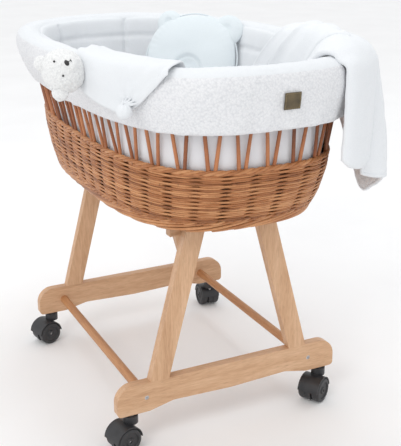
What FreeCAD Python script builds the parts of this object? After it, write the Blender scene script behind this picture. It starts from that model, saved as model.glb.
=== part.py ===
# Wicker bassinet on a wheeled beech stand: textile bumper, mattress, pillow, throw blanket and comforter toy.
# Frame: +X along the basket's length towards its foot end, +Y towards the blanket side, +Z up.
# The origin lies on the floor under the middle of the stand. All sizes are in millimetres.
import FreeCAD, Part
import math
import os

import Sketcher

V = FreeCAD.Vector
os.makedirs("parts", exist_ok=True)
doc = FreeCAD.newDocument("bassinet_on_stand")

# ---------------------------------------------------------------- driving dimensions
sheet = doc.addObject("Spreadsheet::Sheet", "Dims")
DIMS = [
    # stand
    ("frame_half", 250.0), ("stock", 18.0), ("rail_half", 235.0), ("rail_low", 69.0), ("rail_high", 129.0),
    ("arch_high", 80.0), ("arch_mid", 76.0), ("arch_start", 172.0), ("arch_end", 122.0),
    ("rail_end_round", 34.0), ("rail_foot_round", 8.0),
    ("leg_half_wide", 19.0), ("leg_foot", 149.0), ("leg_lean", 0.27), ("leg_top", 449.7),
    ("tenon_wide", 24.0), ("tenon_deep", 20.0), ("tenon_thick", 8.0),
    ("stretcher_dia", 18.0), ("stretcher_side", 176.0), ("stretcher_height", 98.0),
    ("bolt_dia", 6.0), ("bolt_head_dia", 9.0), ("bolt_head_thick", 4.0), ("bolt_recess", 1.0), ("bolt_reach", 30.0),
    ("insert_dia", 9.2), ("insert_long", 22.0),
    ("bearer_half", 115.0), ("bearer_tall", 50.0), ("long_rail_side", 92.0), ("long_rail_tall", 30.0),
    ("screw_dia", 5.0), ("screw_head_dia", 8.0), ("screw_head_thick", 3.0), ("screw_long", 32.0), ("rail_screw_long", 50.0),
    # twin-wheel casters
    ("caster_side", 206.6), ("wheel_dia", 50.0), ("wheel_inner", 6.1), ("wheel_outer", 23.4), ("trail", 17.0),
    ("axle_dia", 6.0), ("run_clear", 0.05), ("axle_half", 21.0), ("stem_dia", 8.0), ("stem_low", 40.0), ("stem_high", 99.0),
    ("socket_dia", 11.0), ("socket_flange_dia", 17.0), ("socket_flange_thick", 1.2), ("socket_high", 101.0),
    ("hood_dia", 57.0), ("hood_inner_dia", 52.4), ("hood_wide", 44.0), ("hood_low", 27.0),
    ("web_wide", 11.0), ("web_low", 9.0), ("boss_dia", 28.0), ("boss_low", 51.0), ("boss_high", 67.2),
    ("swivel_front_left", 14.0), ("swivel_front_right", 30.0), ("swivel_rear_left", 16.0), ("swivel_rear_right", -95.0),
    # wicker basket: half length A and half width B of its rounded outline at each height
    ("border_low", 431.0), ("border_high", 449.8), ("border_A", 352.0), ("border_B", 197.0), ("border_thick", 20.0),
    ("base_low", 450.0), ("base_thick", 11.0), ("wall_high", 551.0), ("wall_thick", 10.0),
    ("rod_dia", 6.4), ("rod_pairs", 40), ("rod_low", 551.9), ("rod_high", 689.0),
    ("rim_height", 699.0), ("rim_A", 409.0), ("rim_B", 233.0), ("rim_dia", 18.0),
    ("outline_low", 3.0), ("outline_high", 2.65),
    # soft goods
    ("mattress_low", 461.5), ("mattress_high", 540.0), ("mattress_A", 340.0), ("mattress_B", 172.0),
    ("liner_thick", 2.5), ("label_wide", 29.0), ("label_tall", 27.0), ("label_thick", 1.2), ("label_off", 11.0), ("label_height", 670.0),
    ("pillow_radius", 103.0), ("pillow_thick", 40.0), ("pillow_X", -138.0), ("pillow_Y", 108.0), ("pillow_Z", 645.0),
    ("pillow_ear", 25.0),
    ("blanket_top", 20.0), ("blanket_fold", 51.0), ("blanket_in", 14.0),
    ("toy_cloth", 5.0), ("toy_head", 36.0), ("toy_X", 210.0), ("toy_Y", -286.0), ("toy_Z", 707.0), ("toy_knot", 12.0),
]
D = {}
for i, (alias, value) in enumerate(DIMS, start=1):
    sheet.set(f"A{i}", alias)
    sheet.set(f"B{i}", str(value))
    sheet.setAlias(f"B{i}", alias)
    D[alias] = value
doc.recompute()

SUBPARTS = []


def keep(obj, label):
    """Marks an object as a sub-part of its own."""
    obj.Label = label
    SUBPARTS.append(obj)
    return obj


def ex(e):
    """Writes a dimension's alias as a reference into the sheet."""
    out, word = "", ""
    for ch in str(e) + " ":
        if ch.isalnum() or ch == "_":
            word += ch
        else:
            out += ("Dims." + word) if word in D else word
            word = ""
            out += ch
    return out.strip()


def val(e):
    return float(eval_number(e))


def eval_number(e):
    """The value of a + - * / expression of aliases and numbers, worked out by the sheet."""
    cell = "D1"
    sheet.set(cell, "=" + " ".join(str(e).split()))
    sheet.recompute()
    return sheet.get(cell)


def prim(kind, name, sizes, at=(0, 0, 0), turn=None):
    o = doc.addObject(kind, name)
    for prop, e in sizes.items():
        o.setExpression(prop, ex(e))
    o.Placement = FreeCAD.Placement(V(0, 0, 0), turn or FreeCAD.Rotation())
    for c, e in zip("xyz", at):
        o.setExpression(f"Placement.Base.{c}", ex(e))
    return o


ALONG_X = FreeCAD.Rotation(V(0, 1, 0), 90)
ALONG_NEG_X = FreeCAD.Rotation(V(0, 1, 0), -90)


def cyl(name, dia, length, at, turn=None):
    return prim("Part::Cylinder", name, {"Radius": f"({dia})/2", "Height": length}, at, turn)


def box(name, lx, ly, lz, at):
    return prim("Part::Box", name, {"Length": lx, "Width": ly, "Height": lz}, at)


def fuse(name, parts):
    if len(parts) == 1:
        return parts[0]
    o = doc.addObject("Part::MultiFuse", name)
    o.Shapes = parts
    return o


def cut(name, base, tools):
    o = doc.addObject("Part::Cut", name)
    o.Base = base
    o.Tool = fuse(name + "_tools", tools)
    return o


def group(name, parts):
    o = doc.addObject("Part::Compound", name)
    o.Links = parts
    return o


def plane(body, role):
    return [f for f in body.Origin.OriginFeatures if f.Role == role][0]


def polygon_sketch(body, role, name, points):
    """A closed polygon whose corners are held by dimensions from the sheet."""
    sk = body.newObject("Sketcher::SketchObject", name)
    sk.AttachmentSupport = [(plane(body, role), "")]
    sk.MapMode = "FlatFace"
    xy = [(val(a), val(b)) for a, b in points]
    n = len(points)
    for i in range(n):
        a, b = xy[i], xy[(i + 1) % n]
        sk.addGeometry(Part.LineSegment(V(a[0], a[1], 0), V(b[0], b[1], 0)), False)
    for i in range(n):
        sk.addConstraint(Sketcher.Constraint("Coincident", i, 2, (i + 1) % n, 1))
    for i in range(n):
        for k, way in ((0, "DistanceX"), (1, "DistanceY")):
            c = sk.addConstraint(Sketcher.Constraint(way, -1, 1, i, 1, xy[i][k]))
            sk.renameConstraint(c, f"corner{i}{'xy'[k]}")
            sk.setExpression(f"Constraints.corner{i}{'xy'[k]}", ex(points[i][k]))
    return sk


def round_edges(body, name, spots, radius):
    """Rounds the edges that run along X through the given (Y, Z) spots."""
    doc.recompute()
    base = body.Tip
    names = []
    for i, e in enumerate(base.Shape.Edges, start=1):
        b = e.BoundBox
        if b.XLength < 1 or b.YLength > 0.01 or b.ZLength > 0.01:
            continue
        if any(abs(b.YMin - y) < 0.05 and abs(b.ZMin - z) < 0.05 for y, z in spots):
            names.append(f"Edge{i}")
    f = body.newObject("PartDesign::Fillet", name)
    f.Base = (base, names)
    f.setExpression("Radius", ex(radius))
    body.Tip = f
    doc.recompute()
    return f


# ---------------------------------------------------------------- stand
def end_rail(name, sx):
    """One bottom rail: a board with rounded ends and an arched underside."""
    b = doc.addObject("PartDesign::Body", name + "_board")
    pts = [
        ("-rail_half", "rail_low"), ("-rail_half", "rail_high"), ("rail_half", "rail_high"), ("rail_half", "rail_low"),
        ("arch_start", "rail_low"), ("arch_end", "arch_high"), ("0", "arch_mid"), ("-arch_end", "arch_high"), ("-arch_start", "rail_low"),
    ]
    sk = polygon_sketch(b, "YZ_Plane", name + "_outline", pts)
    pad = b.newObject("PartDesign::Pad", name + "_pad")
    pad.Profile = sk
    pad.setExpression("Length", ex("stock"))
    pad.Midplane = True
    b.Tip = pad
    r, lo, hi = D["rail_half"], D["rail_low"], D["rail_high"]
    round_edges(b, name + "_ends", [(-r, hi), (r, hi)], "rail_end_round")
    round_edges(b, name + "_feet", [(-r, lo), (r, lo)], "rail_foot_round")
    s, e, ah = D["arch_start"], D["arch_end"], D["arch_high"]
    round_edges(b, name + "_arch", [(-s, lo), (s, lo), (-e, ah), (e, ah)], "rail_end_round")
    b.setExpression("Placement.Base.x", ex(f"{sx} * frame_half"))
    face = f"{sx} * (frame_half + stock / 2)"
    turn = ALONG_NEG_X if sx > 0 else ALONG_X
    tools = []
    for side in (-1, 1):
        tag = f"{name}_{'left' if side < 0 else 'right'}"
        y = f"{side} * stretcher_side"
        tools.append(cyl(tag + "_bolt_hole", "bolt_dia", "stock", (face, y, "stretcher_height"), turn))
        tools.append(cyl(tag + "_bolt_counterbore", "bolt_head_dia", "bolt_head_thick + bolt_recess", (face, y, "stretcher_height"), turn))
        tools.append(cyl(tag + "_socket_hole", "socket_dia", "socket_high - rail_low", (f"{sx} * frame_half", f"{side} * caster_side", "rail_low")))
        tools.append(box(tag + "_mortise", "tenon_thick", "tenon_wide", "tenon_deep",
                         (f"{sx} * frame_half - tenon_thick / 2", f"{side} * leg_foot - tenon_wide / 2", "rail_high - tenon_deep")))
    return keep(cut(name, b, tools), name)


def bearer_screw_spots(sx, sy):
    """Height and side position of the two screws that hold a leg's top to its bearer."""
    return [(f"{sy} * (leg_foot - leg_lean * ({z} - rail_high))", z) for z in ("(leg_top - 37)", "(leg_top - 12)")]


def screw(tag, x, y, z, sx, length):
    """A countersunk wood screw along X: it goes outwards from its head at x."""
    turn = ALONG_X if sx > 0 else ALONG_NEG_X
    return fuse(tag, [
        cyl(tag + "_head", "screw_head_dia", "screw_head_thick", (x, y, z), turn),
        cyl(tag + "_shank", "screw_dia", length, (x, y, z), turn)])


def leg(name, sx, sy):
    """A leg leaning inwards, with a tenon at its foot."""
    b = doc.addObject("PartDesign::Body", name + "_stock")
    top = "leg_lean * (leg_top - rail_high)"
    pts = [
        (f"{sy} * (leg_foot - leg_half_wide)", "rail_high"), (f"{sy} * (leg_foot + leg_half_wide)", "rail_high"),
        (f"{sy} * (leg_foot + leg_half_wide - {top})", "leg_top"), (f"{sy} * (leg_foot - leg_half_wide - {top})", "leg_top"),
    ]
    sk = polygon_sketch(b, "YZ_Plane", name + "_outline", pts)
    pad = b.newObject("PartDesign::Pad", name + "_pad")
    pad.Profile = sk
    pad.setExpression("Length", ex("stock"))
    pad.Midplane = True
    b.Tip = pad
    b.setExpression("Placement.Base.x", ex(f"{sx} * frame_half"))
    tenon = box(name + "_tenon", "tenon_thick", "tenon_wide", "tenon_deep",
                (f"{sx} * frame_half - tenon_thick / 2", f"{sy} * leg_foot - tenon_wide / 2", "rail_high - tenon_deep"))
    solid = fuse(name + "_joined", [b, tenon])
    x = f"{sx} * (frame_half - stock * 3 / 2)"
    holes = [screw(f"{name}_hole{i}", x, y, z, sx, "screw_long") for i, (y, z) in enumerate(bearer_screw_spots(sx, sy))]
    return keep(cut(name, solid, holes), name)


def bearer(name, sx):
    """The cross bar that ties the tops of two legs and carries one end of the basket."""
    x0 = "frame_half - stock * 3 / 2" if sx > 0 else "-frame_half + stock / 2"
    b = box(name + "_bar", "stock", "2 * bearer_half", "bearer_tall", (x0, "-bearer_half", "leg_top - bearer_tall"))
    x = f"{sx} * (frame_half - stock * 3 / 2)"
    tools = []
    for sy in (-1, 1):
        for i, (y, z) in enumerate(bearer_screw_spots(sx, sy)):
            tools.append(screw(f"{name}_hole{sy + 1}{i}", x, y, z, sx, "screw_long"))
        tools.append(screw(f"{name}_rail_hole{sy + 1}", f"{sx} * (frame_half - stock / 2)", f"{sy} * long_rail_side",
                           "leg_top - long_rail_tall / 2", -sx, "rail_screw_long"))
    return keep(cut(name, b, tools), name)


def long_rail(name, sy):
    b = box(name + "_bar", "2 * (frame_half - stock * 3 / 2)", "stock", "long_rail_tall",
            ("-(frame_half - stock * 3 / 2)", f"{sy} * long_rail_side - stock / 2", "leg_top - long_rail_tall"))
    tools = [screw(f"{name}_hole{sx + 1}", f"{sx} * (frame_half - stock / 2)", f"{sy} * long_rail_side",
                   "leg_top - long_rail_tall / 2", -sx, "rail_screw_long") for sx in (-1, 1)]
    return keep(cut(name, b, tools), name)


def stretcher(name, sy):
    """A turned dowel between the two bottom rails, drilled at both ends."""
    b = cyl(name + "_rod", "stretcher_dia", "2 * frame_half - stock", ("-(frame_half - stock / 2)", f"{sy} * stretcher_side", "stretcher_height"), ALONG_X)
    tools = []
    for sx in (-1, 1):
        turn = ALONG_NEG_X if sx > 0 else ALONG_X
        tools.append(cyl(f"{name}_bore{sx + 1}", "insert_dia", "bolt_reach",
                         (f"{sx} * (frame_half - stock / 2)", f"{sy} * stretcher_side", "stretcher_height"), turn))
    return keep(cut(name, b, tools), name)


for sx, end in ((1, "foot"), (-1, "head")):
    end_rail(f"rail_{end}_end", sx)
    for sy, hand in ((-1, "left"), (1, "right")):
        leg(f"leg_{end}_{hand}", sx, sy)
    bearer(f"bearer_{end}_end", sx)
for sy, hand in ((-1, "left"), (1, "right")):
    long_rail(f"long_rail_{hand}", sy)
    stretcher(f"stretcher_dowel_{hand}", sy)

bolts, inserts, screws, sockets = [], [], [], []
for sx in (-1, 1):
    inward = ALONG_NEG_X if sx > 0 else ALONG_X
    for sy in (-1, 1):
        tag = f"{sx + 1}{sy + 1}"
        y = f"{sy} * stretcher_side"
        head_x = f"{sx} * (frame_half + stock / 2 - bolt_recess)"
        bolts.append(cut(f"bolt{tag}", fuse(f"bolt_body{tag}", [
            cyl(f"bolt_head{tag}", "bolt_head_dia", "bolt_head_thick", (head_x, y, "stretcher_height"), inward),
            cyl(f"bolt_shank{tag}", "bolt_dia", "stock - bolt_recess + insert_long", (head_x, y, "stretcher_height"), inward)]),
            [prim("Part::Prism", f"bolt_socket{tag}", {"Circumradius": "bolt_dia / 2.6", "Height": "bolt_head_thick * 0.6"}, (head_x, y, "stretcher_height"), inward)]))
        x = f"{sx} * (frame_half - stock / 2)"
        inserts.append(cut(f"insert{tag}", cyl(f"insert_body{tag}", "insert_dia", "insert_long", (x, y, "stretcher_height"), inward),
                           [cyl(f"insert_bore{tag}", "bolt_dia", "insert_long", (x, y, "stretcher_height"), inward)]))
        x = f"{sx} * (frame_half - stock * 3 / 2)"
        for i, (yy, z) in enumerate(bearer_screw_spots(sx, sy)):
            screws.append(screw(f"bearer_screw{tag}{i}", x, yy, z, sx, "screw_long"))
        screws.append(screw(f"rail_screw{tag}", f"{sx} * (frame_half - stock / 2)", f"{sy} * long_rail_side",
                            "leg_top - long_rail_tall / 2", -sx, "rail_screw_long"))
        cx, cy = f"{sx} * frame_half", f"{sy} * caster_side"
        sockets.append(cut(f"socket{tag}", fuse(f"socket_body{tag}", [
            cyl(f"socket_sleeve{tag}", "socket_dia", "socket_high - rail_low + socket_flange_thick", (cx, cy, "rail_low - socket_flange_thick")),
            cyl(f"socket_flange{tag}", "socket_flange_dia", "socket_flange_thick", (cx, cy, "rail_low - socket_flange_thick"))]),
            [cyl(f"socket_bore{tag}", "stem_dia + 2 * run_clear", "stem_high + 0.6 - rail_low + socket_flange_thick", (cx, cy, "rail_low - socket_flange_thick"))]))
keep(group("stretcher_bolts", bolts), "stretcher_bolts")
keep(group("dowel_inserts", inserts), "dowel_inserts")
keep(group("frame_screws", screws), "frame_screws")
keep(group("caster_sockets", sockets), "caster_sockets")


# ---------------------------------------------------------------- casters
def caster(tag, sx, sy, swivel):
    """A hooded twin-wheel caster. It is built with its stem on the Z axis and its axle along X, then turned about the stem."""
    place = FreeCAD.Placement(V(sx * D["frame_half"], sy * D["caster_side"], 0), FreeCAD.Rotation(V(0, 0, 1), D[swivel]))
    hub = ("wheel_dia / 2",)
    z = "wheel_dia / 2"
    y = "-trail"

    def drum(name, dia, wide):
        return cyl(f"{tag}_{name}", dia, wide, (f"-({wide}) / 2", y, z), ALONG_X)

    hood = cut(f"{tag}_hood", drum("hood_outer", "hood_dia", "hood_wide"), [
        drum("hood_hollow", "hood_inner_dia", "hood_wide + 2"),
        box(f"{tag}_hood_under", "hood_wide + 2", "2 * hood_dia", "hood_dia", ("-hood_wide / 2 - 1", "-trail - hood_dia", "hood_low - hood_dia"))])
    web = cut(f"{tag}_web", drum("web_disc", "hood_inner_dia + 1", "web_wide"), [
        box(f"{tag}_web_under", "web_wide + 2", "2 * hood_dia", "hood_dia", ("-web_wide / 2 - 1", "-trail - hood_dia", "web_low - hood_dia"))])
    boss = cyl(f"{tag}_boss", "boss_dia", "boss_high - boss_low", ("0", "0", "boss_low"))
    shell = fuse(f"{tag}_shell", [hood, web, boss])
    housing = cut(f"{tag}_housing", shell, [
        cyl(f"{tag}_stem_hole", "stem_dia", "boss_high - stem_low", ("0", "0", "stem_low")),
        drum("axle_hole", "axle_dia", "web_wide + 2")])
    stem = cyl(f"{tag}_stem", "stem_dia", "stem_high - stem_low", ("0", "0", "stem_low"))
    axle = drum("axle", "axle_dia", "2 * axle_half")
    for o, n in ((housing, "housing"), (stem, "stem"), (axle, "axle")):
        if n == "housing":
            o.Placement = place
            keep(o, f"caster_{tag}_{n}")
        else:
            c = doc.addObject("Part::Compound", f"{tag}_{n}_placed")
            c.Links = [o]
            c.Placement = place
            keep(c, f"caster_{tag}_{n}")
    bore = "(axle_dia / 2 + run_clear)"
    for side, hand in ((-1, "inner"), (1, "outer")):
        b = doc.addObject("PartDesign::Body", f"{tag}_wheel_{hand}")
        prof = [
            ("wheel_inner", bore), ("wheel_inner", "wheel_dia / 2 - 2.6"), ("wheel_inner + 0.8", "wheel_dia / 2 - 0.8"), ("wheel_inner + 2.6", "wheel_dia / 2"),
            ("wheel_outer - 3.4", "wheel_dia / 2"), ("wheel_outer - 1", "wheel_dia / 2 - 1.1"), ("wheel_outer", "wheel_dia / 2 - 3.4"),
            ("wheel_outer", "wheel_dia / 2 - 7"), ("wheel_outer - 2.2", "wheel_dia / 2 - 8.2"), ("wheel_outer - 2.2", "8.5"), ("wheel_outer", "7"), ("wheel_outer", bore),
        ]
        if side < 0:
            prof = [(f"-({a})", c) for a, c in prof]
        sk = polygon_sketch(b, "XZ_Plane", f"{tag}_wheel_{hand}_profile", prof)
        rev = b.newObject("PartDesign::Revolution", f"{tag}_wheel_{hand}_turned")
        rev.Profile = sk
        rev.ReferenceAxis = (sk, ["H_Axis"])
        rev.Angle = 360.0
        b.Tip = rev
        b.Placement = place.multiply(FreeCAD.Placement(V(0, -D["trail"], D["wheel_dia"] / 2), FreeCAD.Rotation()))
        keep(b, f"caster_{tag}_wheel_{hand}")


caster("front_left", 1, -1, "swivel_front_left")
caster("front_right", 1, 1, "swivel_front_right")
caster("rear_left", -1, -1, "swivel_rear_left")
caster("rear_right", -1, 1, "swivel_rear_right")


# ---------------------------------------------------------------- rounded outlines
def outline_power(height):
    """The outline is squarer at the basket's foot than at its rim."""
    low, high = D["outline_low"], D["outline_high"]
    s = min(1.0, max(0.0, (height - 623.0) / (725.0 - 623.0)))
    return low + (high - low) * s


def on_outline(A, B, height, angle):
    n = outline_power(height)
    c, s = math.cos(angle), math.sin(angle)
    rho = (abs(c) ** n + abs(s) ** n) ** (-1.0 / n)
    return V(A * rho * c, B * rho * s, height)


def outline(A, B, height, count=40):
    pts = [on_outline(A, B, height, 2 * math.pi * i / count) for i in range(count)]
    curve = Part.BSplineCurve()
    curve.interpolate(pts, PeriodicFlag=True)
    return Part.Wire([curve.toShape()])


def ring(section):
    """A closed ring: its section's corners are (A, B, height), joined by ruled bands."""
    wires = [outline(a, b, h) for a, b, h in section]
    faces = []
    for i in range(len(wires)):
        faces += Part.makeLoft([wires[i], wires[(i + 1) % len(wires)]], False, True).Faces
    shell = Part.makeShell(faces)
    shell.sewShape()
    solid = Part.makeSolid(Part.Shell(shell.Faces) if shell.ShapeType != "Shell" else shell)
    if solid.Volume < 0:
        solid.reverse()
    return solid


def slab(section):
    """A closed rounded plate: outlines from its bottom to its top."""
    return Part.makeLoft([outline(a, b, h) for a, b, h in section], True, True)


def feature(label, shape, place=None):
    f = doc.addObject("Part::Feature", label)
    f.Shape = shape
    if place:
        f.Placement = place
    return keep(f, label)


# ---------------------------------------------------------------- wicker basket
bA, bB, bt = D["border_A"], D["border_B"], D["border_thick"]
lo, hi = D["border_low"], D["border_high"]
feature("basket_foot_border", ring([
    (bA - 6, bB - 6, lo), (bA, bB, lo + 5), (bA, bB, hi - 4), (bA - 2, bB - 2, hi),
    (bA - bt + 3, bB - bt + 3, hi), (bA - bt, bB - bt, hi - 5), (bA - bt, bB - bt, lo + 5), (bA - bt + 6, bB - bt + 6, lo)]))
feature("basket_base", slab([(342.5, 185.5, D["base_low"]), (342.5, 185.5, D["base_low"] + D["base_thick"])]))
WALL = [(353.0, 196.0, 450.0), (375.0, 203.0, 480.0), (392.0, 208.0, 520.0), (400.0, 209.0, 551.0)]
wt = D["wall_thick"]
WALL[-1] = (WALL[-1][0], WALL[-1][1], D["wall_high"])
feature("basket_woven_wall", ring(WALL + [(a - wt, b - wt, h) for a, b, h in reversed(WALL)]))

rA, rB, rz, rr = D["rim_A"], D["rim_B"], D["rim_height"], D["rim_dia"] / 2
feature("basket_rim_border", ring([
    (rA + rr * math.cos(math.radians(22.5 + 45 * k)), rB + rr * math.cos(math.radians(22.5 + 45 * k)), rz + rr * math.sin(math.radians(22.5 + 45 * k)))
    for k in range(8)]))

# upright rods: pairs that stand close together at the woven wall and spread towards the rim
rods = []
pairs = int(D["rod_pairs"])


def even_angles(A, B, height, count, shift=0.0):
    """Angles that space points evenly along an outline."""
    fine = 2880
    pts = [on_outline(A, B, height, 2 * math.pi * i / fine) for i in range(fine + 1)]
    run = [0.0]
    for i in range(fine):
        run.append(run[-1] + (pts[i + 1] - pts[i]).Length)
    out, j = [], 0
    for k in range(count):
        want = ((k + shift) / count) % 1.0 * run[-1]
        j = 0
        while run[j + 1] < want:
            j += 1
        out.append(2 * math.pi * (j + (want - run[j]) / (run[j + 1] - run[j])) / fine)
    return out


low_a = even_angles(395.0, 204.0, D["rod_low"], pairs)
high_left = even_angles(408.0, 231.0, D["rod_high"], pairs, -0.40)
high_right = even_angles(408.0, 231.0, D["rod_high"], pairs, 0.40)
low_left = even_angles(395.0, 204.0, D["rod_low"], pairs, -0.10)
low_right = even_angles(395.0, 204.0, D["rod_low"], pairs, 0.10)
for k in range(pairs):
    for a0, a1 in ((low_left[k], high_left[k]), (low_right[k], high_right[k])):
        p = on_outline(395.0, 204.0, D["rod_low"], a0)
        q = on_outline(408.0, 231.0, D["rod_high"], a1)
        rods.append(Part.makeCylinder(D["rod_dia"] / 2, (q - p).Length, p, q - p))
feature("basket_upright_rods", Part.makeCompound(rods))

# ---------------------------------------------------------------- soft goods
lt = D["liner_thick"]
LINER = [(351.0, 188.0, 463.0), (364.5, 192.5, 480.0), (381.5, 197.5, 520.0), (389.5, 198.5, 551.0), (392.5, 209.5, 623.0), (399.0, 223.0, 688.0)]
feature("cloth_liner", ring(LINER + [(a - lt, b - lt, h) for a, b, h in reversed(LINER)]))
mA, mB, ml, mh = D["mattress_A"], D["mattress_B"], D["mattress_low"], D["mattress_high"]
feature("mattress", slab([(mA - 6, mB - 6, ml), (mA, mB, ml + 8), (mA, mB, mh - 8), (mA - 8, mB - 8, mh)]))
feature("bumper", ring([
    (428, 229, 623), (434.5, 244.5, 648), (438.5, 256, 672), (440, 262, 695), (436, 260, 711), (427, 251.5, 721), (413, 238, 725),
    (398, 224, 722), (387, 213, 713), (379.5, 205, 695), (374, 196, 655), (368, 188, 600), (362, 181, 548), (366, 184, 541),
    (378, 192, 541), (385, 194.5, 553), (388, 204.5, 620), (395.5, 219, 687), (398.5, 222, 690), (398.5, 222.5, 711),
    (419.5, 243.5, 711), (420, 243.2, 690), (413, 229.5, 650), (411, 222.5, 624)]))
lx = 440.3
keep(box("label_patch", "label_thick", "label_wide", "label_tall", (str(lx), "label_off - label_wide / 2", "label_height - label_tall / 2")), "label_patch")

# pillow: a flat round baby pillow with two ears, leaning on the wall
n = V(0.65, -0.637, 0.414)
n.normalize()
up = V(0, 0, 1) - n * n.z
up.normalize()
side = up.cross(n)
turn = FreeCAD.Rotation(side, up, n, "ZXY")
pr, pt, pe = D["pillow_radius"], D["pillow_thick"], D["pillow_ear"]
profile = [V(0, 0, -pt * 0.42), V(pr * 0.62, 0, -pt * 0.5), V(pr * 0.9, 0, -pt * 0.3), V(pr, 0, 0), V(pr * 0.9, 0, pt * 0.3), V(pr * 0.62, 0, pt * 0.5), V(pr * 0.25, 0, pt * 0.42), V(0, 0, pt * 0.3)]
disc = Part.Face(Part.makePolygon(profile + [profile[0]])).revolve(V(0, 0, 0), V(0, 0, 1), 360)
ears = []
for deg in (-36, 45):
    a = math.radians(deg)
    c = V(math.sin(a) * (pr + 4), math.cos(a) * (pr + 4), 0)
    ears.append(Part.makeCylinder(pe, pt * 0.36, c - V(0, 0, pt * 0.18)))
feature("pillow", disc.multiFuse(ears).removeSplitter(), FreeCAD.Placement(V(D["pillow_X"], D["pillow_Y"], D["pillow_Z"]), turn))


# ---------------------------------------------------------------- cloths over the rim
def rim_station(deg, hand):
    """A point on the middle of the padded rim and the level direction that points out of the basket there."""
    a = math.radians(deg)
    p = on_outline(rA, rB, 725.0, a)
    q = on_outline(rA, rB, 725.0, a + 0.001)
    t = q - p
    t.z = 0
    t.normalize()
    out = V(t.y, -t.x, 0)
    return V(p.x, hand * p.y, 0), V(out.x, hand * out.y, 0)


def over_rim(stations, hand, section):
    """A cloth hung over the rim: sections (offset out of the rim, height, share of the slant) at each station, joined by ruled bands."""
    wires = []
    for deg, z_out, z_in, flare, slant in stations:
        pts = []
        for o, h, share in section(z_out, z_in, flare):
            p, out = rim_station(deg + share * slant, hand)
            pts.append(p + out * o + V(0, 0, h))
        wires.append(Part.Wire(Part.makePolygon(pts + [pts[0]]).Edges))
    return Part.makeLoft(wires, True, True)


def blanket_section(z_out, z_in, flare):
    t, f, i = D["blanket_top"], D["blanket_fold"], D["blanket_in"]
    b = 38.0
    return [
        (b + 22.0 * flare, z_out, 0), (b + 9.0 + f * flare, z_out - 6, 0), (b + 8.0 + 24.0 * flare, 690.0, 0), (b + 2.0 + 16.0 * flare, 727.0, 0),
        (8.0, 727.0 + t, 0), (-22.0, 724.0 + t * 0.7, 0.15), (-32.0 - i, 700.0, 0.4), (-47.0 - i, z_in, 1),
        (-47.0, z_in, 1), (-33.5, 698.0, 0.4), (-25.0, 723.5, 0.15), (4.0, 727.5, 0), (28.0, 723.0, 0), (b, 701.0, 0)]


BLANKET = [
    (25, 552, 640, 0.0, 0), (30, 541, 632, 0.05, 2), (35, 533, 622, 0.15, 4), (39, 520, 616, 0.7, 6), (44, 505, 610, 1.0, 8), (49, 486, 608, 1.0, 10),
    (54, 462, 608, 0.95, 11), (59.5, 438, 610, 0.85, 11), (65, 510, 614, 0.6, 10), (72, 610, 625, 0.3, 7), (79, 672, 640, 0.1, 0)]
feature("blanket", over_rim(BLANKET, 1, blanket_section))


def toy_section(z_out, z_in, flare):
    t, b = D["toy_cloth"], 37.5
    return [(o, h, 0) for o, h in (
        (b, z_out), (b + t, z_out), (b + t, 705.0), (28.0, 722.5 + t), (0.0, 727.5 + t), (-26.0, 724.0 + t),
        (-33.0 - t, z_in), (-33.0, z_in), (-24.0, 723.5), (0.0, 727.5), (27.0, 722.5), (b, 703.0))]


TOY = [(66, 696, 712, 0, 0), (61.5, 682, 708, 0, 0), (57, 668, 706, 0, 0), (52, 657, 704, 0, 0), (47, 652, 704, 0, 0), (42, 664, 706, 0, 0), (37, 684, 709, 0, 0), (33, 698, 714, 0, 0)]
hr = D["toy_head"]
head = Part.makeSphere(hr, V(D["toy_X"], D["toy_Y"], D["toy_Z"]))
muzzle = Part.makeSphere(hr * 0.42, V(D["toy_X"] + hr * 0.62, D["toy_Y"] - hr * 0.52, D["toy_Z"] + hr * 0.1))
ear1 = Part.makeSphere(hr * 0.3, V(D["toy_X"] - hr * 0.45, D["toy_Y"] - hr * 0.35, D["toy_Z"] + hr * 0.86))
ear2 = Part.makeSphere(hr * 0.3, V(D["toy_X"] + hr * 0.05, D["toy_Y"] - hr * 0.45, D["toy_Z"] - hr * 0.92))
feature("toy_head", head.multiFuse([muzzle, ear1, ear2]))
room = Part.makeSphere(hr + 0.3, V(D["toy_X"], D["toy_Y"], D["toy_Z"])).multiFuse([Part.makeSphere(hr * 0.3 + 0.3, e.CenterOfMass) for e in (ear1, ear2)])
feature("toy_cloth", max(over_rim(TOY, -1, toy_section).cut(room).Solids, key=lambda c: c.Volume))
p, out = rim_station(46, -1)
feature("toy_knot", Part.makeSphere(D["toy_knot"], p + out * (37.5 + D["toy_cloth"] + D["toy_knot"] + 0.2) + V(0, 0, 657.0)))

# ---------------------------------------------------------------- checks and files
doc.recompute()
for o in doc.Objects:
    if "Invalid" in o.State or "Error" in o.State:
        raise SystemExit(f"{o.Name} failed: {o.State}")
seen = set()
for o in SUBPARTS:
    s = o.Shape
    if s.isNull() or not s.isValid() or not s.Solids or s.Volume <= 0:
        raise SystemExit(f"{o.Label} has no valid solid")
    if o.Label in seen:
        raise SystemExit(f"two sub-parts are called {o.Label}")
    seen.add(o.Label)
for o in SUBPARTS:
    o.Shape.exportStep(f"parts/{o.Label}.step")
    b = o.Shape.BoundBox
    print(f"{o.Label:32s} solids {len(o.Shape.Solids):3d} volume {o.Shape.Volume / 1000:9.1f} cm3  X {b.XMin:7.1f} {b.XMax:7.1f}  Y {b.YMin:7.1f} {b.YMax:7.1f}  Z {b.ZMin:7.1f} {b.ZMax:7.1f}")
print(len(SUBPARTS), "sub-parts")
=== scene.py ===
import bpy, math
import numpy as np
from mathutils import Matrix, Vector


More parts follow.
